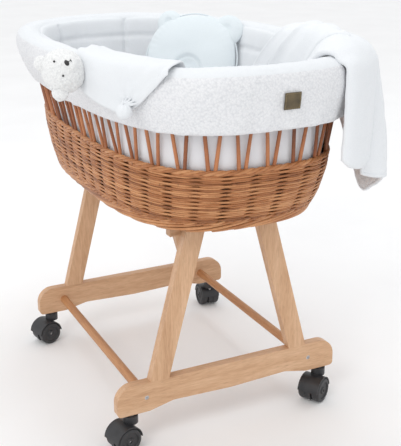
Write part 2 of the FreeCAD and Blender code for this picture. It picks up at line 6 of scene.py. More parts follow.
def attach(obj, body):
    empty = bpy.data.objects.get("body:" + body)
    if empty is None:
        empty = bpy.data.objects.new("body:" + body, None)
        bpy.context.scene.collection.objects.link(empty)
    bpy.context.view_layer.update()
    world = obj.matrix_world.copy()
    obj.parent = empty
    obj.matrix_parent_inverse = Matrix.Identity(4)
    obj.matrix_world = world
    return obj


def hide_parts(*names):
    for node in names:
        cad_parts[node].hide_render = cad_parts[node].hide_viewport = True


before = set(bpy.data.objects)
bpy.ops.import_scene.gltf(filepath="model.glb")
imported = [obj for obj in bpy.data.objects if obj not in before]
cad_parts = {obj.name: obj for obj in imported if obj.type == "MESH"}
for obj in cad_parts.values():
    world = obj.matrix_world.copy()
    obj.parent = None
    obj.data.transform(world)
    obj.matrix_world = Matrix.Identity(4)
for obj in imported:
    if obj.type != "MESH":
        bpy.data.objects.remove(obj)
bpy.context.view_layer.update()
scene = bpy.context.scene
rng = np.random.default_rng(7)
TAU = 2 * math.pi

# ------------------------------------------------------------------ camera
PITCH, YAW, ROLL = 0.3375, 0.4501, -0.0078
fw = np.array([-math.cos(YAW) * math.cos(PITCH), math.sin(YAW) * math.cos(PITCH), -math.sin(PITCH)])
rt = np.array([math.sin(YAW), math.cos(YAW), 0.0])
up = np.cross(rt, fw)
rt, up = math.cos(ROLL) * rt + math.sin(ROLL) * up, -math.sin(ROLL) * rt + math.cos(ROLL) * up
cam_data = bpy.data.cameras.new("camera")
cam_data.lens = 888.26 / 446 * 36
cam_data.sensor_width = 36
cam_data.sensor_fit = "AUTO"
cam_data.clip_start, cam_data.clip_end = 0.05, 60
cam = bpy.data.objects.new("camera", cam_data)
scene.collection.objects.link(cam)
M = Matrix.Identity(4)
for i in range(3):
    M[i][0], M[i][1], M[i][2] = rt[i], up[i], -fw[i]
M[0][3], M[1][3], M[2][3] = 1.60778, -0.71476, 0.94966
cam.matrix_world = M
scene.camera = cam

# ------------------------------------------------------------------ noise and meshes
_perm = np.random.default_rng(11).permutation(256)
_grad = np.random.default_rng(12).normal(size=(256, 3))
_grad /= np.linalg.norm(_grad, axis=1)[:, None]


def pnoise(p, scale, seed=0):
    """Smooth noise, about -1 to 1. scale is features per metre."""
    p = np.asarray(p, float) * scale + seed * 17.31
    i = np.floor(p).astype(int)
    f = p - i
    w = f * f * f * (f * (f * 6 - 15) + 10)
    out = np.zeros(p.shape[:-1])
    for dx in (0, 1):
        for dy in (0, 1):
            for dz in (0, 1):
                h = _perm[(_perm[(_perm[(i[..., 0] + dx) & 255] + i[..., 1] + dy) & 255] + i[..., 2] + dz) & 255]
                d = f - np.array([dx, dy, dz])
                g = (_grad[h] * d).sum(-1)
                out += g * (w[..., 0] if dx else 1 - w[..., 0]) * (w[..., 1] if dy else 1 - w[..., 1]) * (w[..., 2] if dz else 1 - w[..., 2])
    return out * 1.6


def make(name, verts, quads, mat, body, tone=None, smooth=True, slot=None, replaces=(), mats=None, mat_idx=None):
    me = bpy.data.meshes.new(name)
    verts = np.asarray(verts, np.float32)
    quads = np.asarray(quads, np.int32)
    k = quads.shape[1]
    me.vertices.add(len(verts))
    me.vertices.foreach_set("co", verts.ravel())
    me.loops.add(quads.size)
    me.loops.foreach_set("vertex_index", quads.ravel())
    me.polygons.add(len(quads))
    me.polygons.foreach_set("loop_start", np.arange(0, quads.size, k, dtype=np.int32))
    me.polygons.foreach_set("loop_total", np.full(len(quads), k, np.int32))
    me.polygons.foreach_set("use_smooth", np.full(len(quads), smooth))
    me.update(calc_edges=True)
    me.validate()
    if tone is not None:
        a = me.attributes.new("tone", "FLOAT", "POINT")
        a.data.foreach_set("value", np.asarray(tone, np.float32))
    for m in (mats or [mat]):
        me.materials.append(m)
    if mat_idx is not None:
        me.polygons.foreach_set("material_index", np.asarray(mat_idx, np.int32))
    o = bpy.data.objects.new(name, me)
    scene.collection.objects.link(o)
    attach(o, body)
    if replaces:
        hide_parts(*replaces)
    return o


def grid_quads(nu, nv, wrap_u, wrap_v, base=0):
    """Quads of a grid whose vertex (i, j) is at base + i * nv + j."""
    iu = np.arange(nu if wrap_u else nu - 1)
    jv = np.arange(nv if wrap_v else nv - 1)
    i, j = np.meshgrid(iu, jv, indexing="ij")
    i2, j2 = (i + 1) % nu, (j + 1) % nv
    return (base + np.stack([i * nv + j, i2 * nv + j, i2 * nv + j2, i * nv + j2], -1)).reshape(-1, 4)


class Bag:
    """Collects many small closed meshes into one."""

    def __init__(self):
        self.v, self.q, self.t, self.n = [], [], [], 0

    def add(self, v, q, tone=0.5):
        v = np.asarray(v).reshape(-1, 3)
        self.v.append(v)
        self.q.append(np.asarray(q) + self.n)
        self.t.append(np.broadcast_to(np.asarray(tone, float), (len(v),)))
        self.n += len(v)

    def tube(self, path, radius, ref, sides=7, closed=False, tone=0.5, flat=1.0):
        """A tube along path. ref is the direction, per point, that its section's first axis points in."""
        path = np.asarray(path, float)
        n = len(path)
        if closed:
            t = np.roll(path, -1, 0) - np.roll(path, 1, 0)
        else:
            t = np.gradient(path, axis=0)
        t /= np.linalg.norm(t, axis=1)[:, None]
        ref = np.broadcast_to(np.asarray(ref, float), path.shape)
        a = ref - (ref * t).sum(1)[:, None] * t
        a /= np.linalg.norm(a, axis=1)[:, None]
        b = np.cross(t, a)
        radius = np.broadcast_to(np.asarray(radius, float), (n,))
        th = np.arange(sides) / sides * TAU
        ring = (a[:, None] * np.cos(th)[None, :, None] * flat + b[:, None] * np.sin(th)[None, :, None]) * radius[:, None, None] + path[:, None]
        tone = np.broadcast_to(np.asarray(tone, float), (n,))
        if closed:
            self.add(ring, grid_quads(n, sides, True, True), np.repeat(tone, sides))
            return
        # rounded ends: two extra small rings that close in on a point
        e0 = path[0] + (ring[0] - path[0]) * 0.55 - t[0] * radius[0] * 0.5
        e1 = path[-1] + (ring[-1] - path[-1]) * 0.55 + t[-1] * radius[-1] * 0.5
        c0 = path[0] + (ring[0] - path[0]) * 0.02 - t[0] * radius[0] * 0.7
        c1 = path[-1] + (ring[-1] - path[-1]) * 0.02 + t[-1] * radius[-1] * 0.7
        allr = np.concatenate([c0[None], e0[None], ring, e1[None], c1[None]])
        tn = np.concatenate([[tone[0]] * 2, tone, [tone[-1]] * 2])
        q = grid_quads(n + 4, sides, False, True)
        self.add(allr, q, np.repeat(tn, sides))
        # caps as quads fanned over the tiny end rings
        m = self.n - (n + 4) * sides
        caps = []
        for s0 in (0, (n + 3) * sides):
            for i in range(1, sides - 2, 2):
                caps.append([s0, s0 + i, s0 + i + 1, s0 + i + 2])
        self.q.append(np.array(caps) + m)

    def build(self, name, mat, body, **kw):
        return make(name, np.concatenate(self.v), np.concatenate(self.q), mat, body, tone=np.concatenate(self.t), **kw)


def power(z):
    return 3.0 - 0.35 * np.clip((np.asarray(z) * 1000 - 623) / 102, 0, 1)


def outline(A, B, z, phi):
    """Points on the basket's rounded outline; A, B and z in millimetres, result in metres."""
    A, B, z, phi = np.broadcast_arrays(np.asarray(A, float), np.asarray(B, float), np.asarray(z, float), np.asarray(phi, float))
    n = power(z / 1000)
    c, s = np.cos(phi), np.sin(phi)
    rho = (np.abs(c) ** n + np.abs(s) ** n) ** (-1 / n)
    return np.stack([A * rho * c, B * rho * s, z], -1) / 1000


def even_phi(A, B, z, count, shift=0.0):
    f = np.linspace(0, TAU, 5761)
    p = outline(A, B, z, f)
    run = np.r_[0, np.cumsum(np.linalg.norm(np.diff(p, axis=0), axis=1))]
    want = ((np.arange(count) + shift) / count) * run[-1]
    return np.interp(want % run[-1], run, f), run[-1]


def out_dir(A, B, z, phi):
    """Level outward direction of the outline."""
    e = 1e-3
    t = outline(A, B, z, phi + e) - outline(A, B, z, phi - e)
    n = np.stack([t[..., 1], -t[..., 0], np.zeros(t.shape[:-1])], -1)
    return n / np.linalg.norm(n, axis=-1)[..., None]


def smooth_loop(pts, m, closed=True):
    """Catmull-Rom through the points, m steps per span."""
    p = np.asarray(pts, float)
    n = len(p)
    out = []
    for i in range(n if closed else n - 1):
        if closed:
            a, b, c, d = p[i - 1], p[i], p[(i + 1) % n], p[(i + 2) % n]
        else:
            a, b, c, d = p[max(i - 1, 0)], p[i], p[i + 1], p[min(i + 2, n - 1)]
        for s in np.arange(m) / m:
            out.append(0.5 * ((2 * b) + (c - a) * s + (2 * a - 5 * b + 4 * c - d) * s * s + (3 * b - a - 3 * c + d) * s ** 3))
    if not closed:
        out.append(p[-1])
    return np.array(out)


def resample(pts, count, closed=True):
    p = np.asarray(pts, float)
    q = np.vstack([p, p[:1]]) if closed else p
    run = np.r_[0, np.cumsum(np.linalg.norm(np.diff(q, axis=0), axis=1))]
    want = np.linspace(0, run[-1], count + 1)[:-1] if closed else np.linspace(0, run[-1], count)
    return np.stack([np.interp(want, run, q[:, k]) for k in range(q.shape[1])], 1)


def grid_normals(g, wrap_u, wrap_v):
    du = (np.roll(g, -1, 0) - np.roll(g, 1, 0)) if wrap_u else np.gradient(g, axis=0)
    dv = (np.roll(g, -1, 1) - np.roll(g, 1, 1)) if wrap_v else np.gradient(g, axis=1)
    n = np.cross(du, dv)
    l = np.linalg.norm(n, axis=-1)[..., None]
    return n / np.maximum(l, 1e-12)


# ------------------------------------------------------------------ materials
def new_mat(name):
    m = bpy.data.materials.new(name)
    m.use_nodes = True
    nt = m.node_tree
    return m, nt, nt.nodes["Principled BSDF"]


def node(nt, kind, **kw):
    n = nt.nodes.new(kind)
    for k, v in kw.items():
        if k.startswith("i_"):
            key = k[2:]
            n.inputs[int(key) if key.isdigit() else key.replace("_", " ")].default_value = v
        else:
            setattr(n, k, v)
    return n


def coords(nt, scale=(1, 1, 1), rot=(0, 0, 0)):
    tc = node(nt, "ShaderNodeTexCoord")
    mp = node(nt, "ShaderNodeMapping")
    mp.inputs["Scale"].default_value = scale
    mp.inputs["Rotation"].default_value = rot
    nt.links.new(tc.outputs["Object"], mp.inputs["Vector"])
    return mp.outputs["Vector"]


def ramp(nt, fac, stops):
    r = node(nt, "ShaderNodeValToRGB")
    el = r.color_ramp.elements
    while len(el) < len(stops):
        el.new(0.5)
    for e, (pos, col) in zip(el, stops):
        e.position = pos
        e.color = (*col, 1)
    nt.links.new(fac, r.inputs["Fac"])
    return r.outputs["Color"]


def noise_tex(nt, vec, scale, detail=3, rough=0.5, dist=0.0):
    n = node(nt, "ShaderNodeTexNoise", i_Scale=scale, i_Detail=detail, i_Roughness=rough, i_Distortion=dist)
    nt.links.new(vec, n.inputs["Vector"])
    return n.outputs["Fac"]


def math_node(nt, op, a, b=None, c=None):
    n = node(nt, "ShaderNodeMath", operation=op)
    for i, x in enumerate((a, b, c)):
        if x is None:
            continue
        if isinstance(x, (int, float)):
            n.inputs[i].default_value = x
        else:
            nt.links.new(x, n.inputs[i])
    return n.outputs[0]


def mix_col(nt, fac, a, b, mode="MIX"):
    n = node(nt, "ShaderNodeMix", data_type="RGBA", blend_type=mode)
    for sock, x in ((n.inputs[0], fac), (n.inputs[6], a), (n.inputs[7], b)):
        if isinstance(x, (int, float)):
            sock.default_value = x
        elif isinstance(x, tuple):
            sock.default_value = (*x, 1)
        else:
            nt.links.new(x, sock)
    return n.outputs[2]


def bump(nt, bsdf, height, strength, dist):
    b = node(nt, "ShaderNodeBump", i_Strength=strength, i_Distance=dist)
    nt.links.new(height, b.inputs["Height"])
    nt.links.new(b.outputs["Normal"], bsdf.inputs["Normal"])
    return b


def lin(r, g, b):
    return tuple(((c / 255) / 12.92) if c / 255 <= 0.04045 else (((c / 255) + 0.055) / 1.055) ** 2.4 for c in (r, g, b))


def wood(name, light, mid, dark, rot=(0, 0, 0), scale=(1, 1, 1)):
    """Beech: long soft figure along the grain, small darker flecks, a clear matt lacquer."""
    m, nt, b = new_mat(name)
    v = coords(nt, scale, rot)
    big = noise_tex(nt, v, 1.0, 5, 0.55, 0.6)
    col = ramp(nt, big, [(0.28, dark), (0.5, mid), (0.74, light)])
    fine = noise_tex(nt, v, 9.0, 4, 0.6)
    col = mix_col(nt, 0.35, col, ramp(nt, fine, [(0.35, dark), (0.65, light)]), "MIX")
    fv = coords(nt, tuple(s * 6 for s in scale), rot)
    fleck = noise_tex(nt, fv, 2.2, 2, 0.5)
    mask = ramp(nt, fleck, [(0.60, (0, 0, 0)), (0.68, (1, 1, 1))])
    col = mix_col(nt, math_node(nt, "MULTIPLY", mask, 0.28), col, tuple(c * 0.62 for c in dark))
    nt.links.new(col, b.inputs["Base Color"])
    rough = ramp(nt, fine, [(0.3, (0.38,) * 3), (0.7, (0.52,) * 3)])
    nt.links.new(rough, b.inputs["Roughness"])
    b.inputs["Specular IOR Level"].default_value = 0.35
    bump(nt, b, math_node(nt, "ADD", fine, math_node(nt, "MULTIPLY", mask, -0.5)), 0.25, 0.0004)
    return m


LEAN = math.atan(0.27)
B_L, B_M, B_D = lin(221, 184, 150), lin(204, 163, 127), lin(180, 137, 101)
mat_rail = wood("beech_rail", B_L, B_M, B_D, scale=(45, 4, 45))
mat_long = wood("beech_long", B_L, B_M, B_D, scale=(4, 45, 45))
mat_leg_l = wood("beech_leg_left", B_L, B_M, B_D, rot=(LEAN, 0, 0), scale=(45, 45, 4))
mat_leg_r = wood("beech_leg_right", B_L, B_M, B_D, rot=(-LEAN, 0, 0), scale=(45, 45, 4))
mat_dowel = wood("beech_dowel", lin(206, 156, 112), lin(186, 132, 88), lin(160, 106, 66), scale=(5, 60, 60))


def metal(name, col, rough):
    m, nt, b = new_mat(name)
    v = coords(nt, (300, 300, 300))
    n = noise_tex(nt, v, 1.0, 3)
    nt.links.new(ramp(nt, n, [(0.3, tuple(c * 0.85 for c in col)), (0.7, col)]), b.inputs["Base Color"])
    nt.links.new(ramp(nt, n, [(0.3, (rough - 0.06,) * 3), (0.7, (rough + 0.08,) * 3)]), b.inputs["Roughness"])
    b.inputs["Metallic"].default_value = 1.0
    return m


mat_steel = metal("zinc_steel", (0.62, 0.62, 0.63), 0.32)


def plastic(name, col, rough, grain=700):
    m, nt, b = new_mat(name)
    v = coords(nt)
    n = noise_tex(nt, v, grain, 2)
    s = noise_tex(nt, v, 60, 3)
    nt.links.new(ramp(nt, s, [(0.3, col), (0.75, tuple(c * 1.5 + 0.004 for c in col))]), b.inputs["Base Color"])
    nt.links.new(ramp(nt, s, [(0.3, (rough,) * 3), (0.7, (rough + 0.14,) * 3)]), b.inputs["Roughness"])
    bump(nt, b, n, 0.12, 0.0002)
    return m


mat_housing = plastic("caster_black", (0.018, 0.018, 0.02), 0.34)
mat_wheel = plastic("wheel_black", (0.022, 0.022, 0.024), 0.42)


def willow(name, light, mid, dark, streak=1.0):
    """Boiled willow: each rod has its own tone, with streaks, small knots and a dull shine."""
    m, nt, b = new_mat(name)
    at = node(nt, "ShaderNodeAttribute", attribute_name="tone")
    v = coords(nt)
    n1 = noise_tex(nt, v, 38, 4, 0.6, 0.4)
    n2 = noise_tex(nt, v, 420, 3, 0.6)
    f = math_node(nt, "ADD", math_node(nt, "MULTIPLY", at.outputs["Fac"], 0.72), math_node(nt, "MULTIPLY", n1, 0.34))
    f = math_node(nt, "ADD", f, math_node(nt, "MULTIPLY", math_node(nt, "SUBTRACT", n2, 0.5), 0.22 * streak))
    col = ramp(nt, f, [(0.18, dark), (0.5, mid), (0.86, light)])
    spot = ramp(nt, noise_tex(nt, v, 150, 2, 0.5), [(0.66, (0, 0, 0)), (0.74, (1, 1, 1))])
    col = mix_col(nt, math_node(nt, "MULTIPLY", spot, 0.45), col, tuple(c * 0.35 for c in dark))
    nt.links.new(col, b.inputs["Base Color"])
    nt.links.new(ramp(nt, n2, [(0.3, (0.36,) * 3), (0.7, (0.55,) * 3)]), b.inputs["Roughness"])
    b.inputs["Specular IOR Level"].default_value = 0.45
    bump(nt, b, n2, 0.25, 0.0004)
    return m


mat_weave = willow("willow_weave", lin(212, 156, 108), lin(168, 108, 64), lin(104, 58, 28))
mat_rod = willow("willow_rods", lin(192, 126, 82), lin(152, 90, 54), lin(98, 52, 28))


def cloth(name, light, shade, pile, depth, curl=0.0, sheen=0.35, big=6.0):
    """A pale pile cloth. pile is features per metre; curl adds small looped curls. The colour follows the pile height,
    so the hollows between tufts and curls get painted shade (the shade colour), and a wide noise adds random tone.
    """
    m, nt, b = new_mat(name)
    v = coords(nt)
    n = noise_tex(nt, v, pile, 4, 0.65, 0.3)
    h = n
    if curl:
        vo = node(nt, "ShaderNodeTexVoronoi", feature="SMOOTH_F1", i_Scale=pile * 0.62, i_Smoothness=0.35)
        warp = node(nt, "ShaderNodeTexNoise", i_Scale=pile * 0.5, i_Detail=2)
        nt.links.new(v, warp.inputs["Vector"])
        mx = node(nt, "ShaderNodeMix", data_type="VECTOR")
        mx.inputs[0].default_value = 0.0025
        nt.links.new(v, mx.inputs[4])
        nt.links.new(warp.outputs["Color"], mx.inputs[5])
        nt.links.new(mx.outputs[1], vo.inputs["Vector"])
        h = math_node(nt, "ADD", math_node(nt, "MULTIPLY", n, 1 - curl), math_node(nt, "MULTIPLY", math_node(nt, "SUBTRACT", 1.0, vo.outputs["Distance"]), curl))
    wide = noise_tex(nt, v, big, 3)
    f = math_node(nt, "ADD", math_node(nt, "MULTIPLY", h, 0.75), math_node(nt, "MULTIPLY", wide, 0.25))
    # painted shade: the base colour darkens with the same height that drives the bump, into the hollows of the pile
    nt.links.new(ramp(nt, f, [(0.28, shade), (0.62, light)]), b.inputs["Base Color"])
    b.inputs["Roughness"].default_value = 0.95
    b.inputs["Specular IOR Level"].default_value = 0.15
    b.inputs["Sheen Weight"].default_value = sheen
    b.inputs["Sheen Roughness"].default_value = 0.5
    bump(nt, b, h, 0.75, depth)
    return m


W = (0.80, 0.805, 0.82)
mat_sherpa = cloth("sherpa_white", W, (0.66, 0.67, 0.695), 430, 0.0024, curl=0.55, sheen=0.2)
mat_velour = cloth("velour_white", (0.77, 0.79, 0.81), (0.71, 0.735, 0.76), 900, 0.0005, sheen=0.15)
mat_minky = cloth("minky_mint", (0.74, 0.795, 0.82), (0.68, 0.745, 0.775), 800, 0.0006, sheen=0.15)
mat_fleece = cloth("fleece_white", (0.82, 0.84, 0.86), (0.76, 0.785, 0.81), 620, 0.0012, sheen=0.15)
mat_plush = cloth("plush_white", (0.82, 0.825, 0.82), (0.68, 0.685, 0.69), 460, 0.002, curl=0.5, sheen=0.15)


def woven(name, light, shade, pitch):
    """Plain weave cotton: fine crossing threads. The colour darkens with the thread height into the gaps between
    threads, as painted shade, over a wide noise of random tone.
    """
    m, nt, b = new_mat(name)
    v = coords(nt)
    w1 = node(nt, "ShaderNodeTexWave", wave_type="BANDS", bands_direction="Z", i_Scale=pitch, i_Distortion=1.2, i_Detail=2)
    w2 = node(nt, "ShaderNodeTexWave", wave_type="BANDS", bands_direction="DIAGONAL", i_Scale=pitch, i_Distortion=1.2, i_Detail=2)
    nt.links.new(v, w1.inputs["Vector"])
    nt.links.new(v, w2.inputs["Vector"])
    h = math_node(nt, "ADD", w1.outputs["Fac"], w2.outputs["Fac"])
    f = math_node(nt, "ADD", math_node(nt, "MULTIPLY", h, 0.2), noise_tex(nt, v, 14, 3))
    # partly painted shade between the threads, from the same bands that drive the bump; the wide noise is random tone
    nt.links.new(ramp(nt, f, [(0.35, shade), (0.8, light)]), b.inputs["Base Color"])
    b.inputs["Roughness"].default_value = 0.85
    b.inputs["Sheen Weight"].default_value = 0.15
    bump(nt, b, h, 0.25, 0.0003)
    return m


mat_cotton = woven("cotton_sheet", (0.79, 0.795, 0.82), (0.73, 0.735, 0.76), 380)


def leather(name):
    m, nt, b = new_mat(name)
    v = coords(nt)
    n = noise_tex(nt, v, 900, 4, 0.6)
    s = noise_tex(nt, v, 70, 4, 0.6)
    nt.links.new(ramp(nt, s, [(0.3, lin(70, 60, 42)), (0.7, lin(104, 90, 64))]), b.inputs["Base Color"])
    b.inputs["Roughness"].default_value = 0.62
    bump(nt, b, n, 0.5, 0.0005)
    return m


mat_label = leather("label_leather")


def thread_mat(name, col):
    m, nt, b = new_mat(name)
    n = noise_tex(nt, coords(nt), 1500, 2)
    nt.links.new(ramp(nt, n, [(0.3, tuple(c * 0.8 for c in col)), (0.7, col)]), b.inputs["Base Color"])
    b.inputs["Roughness"].default_value = 0.8
    return m


mat_thread = thread_mat("seam_thread", (0.80, 0.81, 0.83))
mat_label_thread = thread_mat("label_thread", lin(150, 134, 100))
mat_nose, nt_, b_ = new_mat("toy_black")
nt_.links.new(ramp(nt_, noise_tex(nt_, coords(nt_), 900, 2), [(0.3, (0.012, 0.011, 0.012)), (0.7, (0.03, 0.028, 0.03))]), b_.inputs["Base Color"])
b_.inputs["Roughness"].default_value = 0.35

# ------------------------------------------------------------------ CAD pieces keep their shape and get their finish
FINISH = {
    "rail_foot_end": mat_rail, "rail_head_end": mat_rail, "bearer_foot_end": mat_rail, "bearer_head_end": mat_rail,
    "long_rail_left": mat_long, "long_rail_right": mat_long, "stretcher_dowel_left": mat_dowel, "stretcher_dowel_right": mat_dowel,
    "leg_foot_left": mat_leg_l, "leg_head_left": mat_leg_l, "leg_foot_right": mat_leg_r, "leg_head_right": mat_leg_r,
    "stretcher_bolts": mat_steel, "dowel_inserts": mat_steel, "frame_screws": mat_steel, "caster_sockets": mat_steel,
}
for name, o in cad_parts.items():
    if name.startswith("caster_") and name != "caster_sockets":
        FINISH[name] = mat_wheel if "_wheel_" in name else mat_housing if name.endswith("_housing") else mat_steel
    if name in FINISH:
        for s in o.material_slots:
            s.material = FINISH[name]

# ------------------------------------------------------------------ wicker
STAKES = 80
BAYS = 40
WALL = np.array([(353.0, 196.0, 449.0), (364.0, 199.5, 462.0), (375.0, 203.0, 480.0), (392.0, 208.0, 520.0), (400.0, 209.0, 551.0)])


def wall_AB(z):
    return np.interp(z, WALL[:, 2], WALL[:, 0]), np.interp(z, WALL[:, 2], WALL[:, 1])


weave = Bag()
ROWS = 25
SEG = 720
for r in range(ROWS):
    z = 457.5 + r * (547.0 - 457.5) / (ROWS - 1)
    A, B = wall_AB(z)
    phi, per = even_phi(A, B, z, SEG)
    s = np.arange(SEG) / SEG * BAYS
    dip = np.abs((s + r + 0.5) % 2 - 1)
    shaped = 1 - 2 * np.exp(-(dip / 0.19) ** 2)
    jit = pnoise(np.stack([np.cos(phi) * 0.4, np.sin(phi) * 0.4, np.full(SEG, r * 0.37)], -1), 9, r)
    jit2 = pnoise(np.stack([np.cos(phi) * 0.4, np.sin(phi) * 0.4, np.full(SEG, r * 0.53)], -1), 24, r + 3)
    rad = 1.98 + 0.22 * jit
    off = -4.4 + 2.5 * shaped + 0.5 * jit2
    base = outline(A, B, z, phi)
    n = out_dir(A, B, z, phi)
    zz = 0.8 * jit2 + 0.5 * jit - 0.5 * np.exp(-((1 - dip) / 0.2) ** 2) * (1 if r % 2 else -1)
    p = base + n * off[:, None] / 1000
    p[:, 2] += zz / 1000
    # each weaver is several rods end to end, each with its own tone
    cuts = np.sort(rng.choice(SEG, 6, replace=False))
    tone = rng.uniform(0.25, 0.8, 7)[np.searchsorted(cuts, np.arange(SEG), side="right") % 6]
    weave.tube(p, rad / 1000, n, 6, True, np.clip(tone + 0.12 * jit, 0, 1), flat=0.86)
weave.build("basket_weave", mat_weave, "basket", slot="willow", replaces=("basket_woven_wall",))

# twisted rows that close the weave at its top, and the start of it at its foot
twist = Bag()
for z, R, r0, turns, k0 in ((551.5, 2.3, 2.7, 40, 0.0), (454.0, 2.4, 2.6, 40, 0.5)):
    A, B = wall_AB(z)
    m = 900
    phi, per = even_phi(A - 4.5, B - 4.5, z, m)
    s = np.arange(m) / m
    n = out_dir(A, B, z, phi)
    base = outline(A - 4.5, B - 4.5, z, phi)
    for k in range(3):
        a = TAU * (turns * s + k / 3 + k0)
        p = base + n * (np.cos(a) * R / 1000)[:, None]
        p[:, 2] += np.sin(a) * R / 1000
        j = pnoise(base, 30, k)
        twist.tube(p, (r0 + 0.3 * j) / 1000, n, 7, True, np.clip(rng.uniform(0.35, 0.7) + 0.2 * j, 0, 1))
# plaited foot border: every stake turns and sweeps down and along under its neighbours
bstart, _ = even_phi(352.0, 195.5, 452.0, 44, 0.25)
for k in range(44):
    span = 4.6 * TAU / 44
    q_ = np.linspace(0, 1, 34)
    ph = bstart[k] - span * q_ + 0.006 * rng.normal()
    zb = 463.5 - 9.5 * np.clip(q_ / 0.16, 0, 1) - 20.5 * np.clip((q_ - 0.08) / 0.92, 0, 1) ** 0.92
    bow = -6.0 + 6.6 * np.clip(q_ / 0.2, 0, 1) + 1.2 * np.sin(math.pi * q_) - 7.5 * np.clip((q_ - 0.72) / 0.28, 0, 1) ** 1.6
    Ab = np.interp(zb, [431, 440, 449, 462], [344.5, 347.5, 351.0, 362.0]) - 3.2
    Bb = np.interp(zb, [431, 440, 449, 462], [190.5, 193.0, 195.5, 199.0]) - 3.2
    n = out_dir(Ab, Bb, zb, ph)
    p = outline(Ab, Bb, zb, ph) + n * bow[:, None] / 1000
    j = pnoise(p, 22, k)
    twist.tube(p, (2.95 + 0.3 * j) / 1000, n, 7, False, np.clip(rng.uniform(0.2, 0.8) + 0.2 * j, 0, 1))
for k in range(3):
    m = 700
    phi, _ = even_phi(339.0, 184.0, 440.0, m)
    n = out_dir(339.0, 184.0, 440.0, phi)
    base = outline(339.0, 184.0, 440.0, phi)
    a = TAU * (9 * np.arange(m) / m + k / 3)
    p = base + n * (np.cos(a) * 3.6 / 1000)[:, None]
    p[:, 2] += np.sin(a) * 3.6 / 1000
    twist.tube(p, 0.0032, n, 7, True, rng.uniform(0.2, 0.6))
twist.build("basket_border", mat_weave, "basket", slot="willow", replaces=("basket_foot_border",))

# stakes: they run down inside the weave into the foot border
stakes = Bag()
sp, _ = even_phi(395.0, 204.0, 551.0, STAKES, 0.5)
for k in range(STAKES):
    zs = np.array([441.0, 449.0, 455.0, 480.0, 520.0, 552.0])
    A, B = wall_AB(zs)
    A = A - np.array([8, 7, 6.0, 5.2, 5.0, 5.0]); B = B - np.array([8, 7, 6.0, 5.2, 5.0, 5.0])
    zz = smooth_loop(np.stack([A, B, zs], 1), 4, False)
    p = outline(zz[:, 0], zz[:, 1], zz[:, 2], sp[k])
    n = out_dir(zz[:, 0], zz[:, 1], zz[:, 2], np.full(len(zz), sp[k]))
    stakes.tube(p, 0.0026, n, 6, False, rng.uniform(0.1, 0.6))
# a dark sheet behind the weave, in the willow_shadow material, keeps the wall closed: painted shade that shows through
# the gaps between the rows
stakes.build("basket_stakes", mat_rod, "basket", slot="willow_rod")

sec = np.array([(346.0, 189.0, 456.5), (366.5, 194.5, 480.0), (383.2, 199.4, 520.0), (391.0, 200.2, 549.0), (392.6, 201.8, 549.0), (384.8, 201.0, 520.0), (368.0, 196.0, 480.0), (347.5, 190.6, 456.5)])
phi, _ = even_phi(380, 200, 500, 240)
g = outline(sec[None, :, 0], sec[None, :, 1], sec[None, :, 2], phi[:, None])
# painted shade: a very dark brown for the inside of the wall, seen through the weave
shade_sheet_mat, ntc, bc = new_mat("willow_shadow")
ntc.links.new(ramp(ntc, noise_tex(ntc, coords(ntc, (40, 40, 400)), 1.0, 3), [(0.3, lin(52, 26, 14)), (0.7, lin(92, 50, 28))]), bc.inputs["Base Color"])
bc.inputs["Roughness"].default_value = 0.8
make("basket_wall_shade_sheet", g.reshape(-1, 3), grid_quads(240, 8, True, True), shade_sheet_mat, "basket", slot="willow")

# base: split rods woven across thick base sticks, seen from below
basew = Bag()
for i, y in enumerate(np.arange(-180, 181, 5.0)):
    half = 340.0 * max(0.0, 1 - (abs(y) / 185.0) ** 3.0) ** (1 / 3.0) - 4
    if half < 20:
        continue
    xs = np.linspace(-half, half, 90)
    zz = 455.2 + 1.6 * np.cos(math.pi * (xs / 42.0 + i))
    p = np.stack([xs, np.full_like(xs, y) + 0.5 * pnoise(np.stack([xs / 1000, np.full_like(xs, y / 1000), xs * 0], -1), 20, i), zz], 1) / 1000
    basew.tube(p, 0.0023, (0, 0, 1), 6, False, np.clip(rng.uniform(0.2, 0.7) + 0.15 * pnoise(p, 25, 2), 0, 1))
for x in np.arange(-315, 316, 42.0):
    half = 182.0 * max(0.0, 1 - (abs(x) / 340.0) ** 3.0) ** (1 / 3.0) - 4
    p = np.stack([np.full(9, x), np.linspace(-half, half, 9), np.full(9, 455.2)], 1) / 1000
    basew.tube(p, 0.0032, (0, 0, 1), 7, False, rng.uniform(0.2, 0.5))
basew.build("basket_base_weave", mat_weave, "basket", slot="willow", replaces=("basket_base",))
# a dark disc just above the base weave, in the same material: painted shade that shows through the gaps of the base
z2 = np.array([456.6, 459.5])
bp, _ = even_phi(341, 184, 457, 160)
ringp = [outline(341.0 * f, 184.0 * f, zz, bp) for zz in z2 for f in (0.02, 0.5, 1.0)]
order = [0, 1, 2, 5, 4, 3]
g = np.stack([ringp[i] for i in order], 1)
make("basket_base_shade_sheet", g.reshape(-1, 3), grid_quads(160, 6, True, True), shade_sheet_mat, "basket", slot="willow")

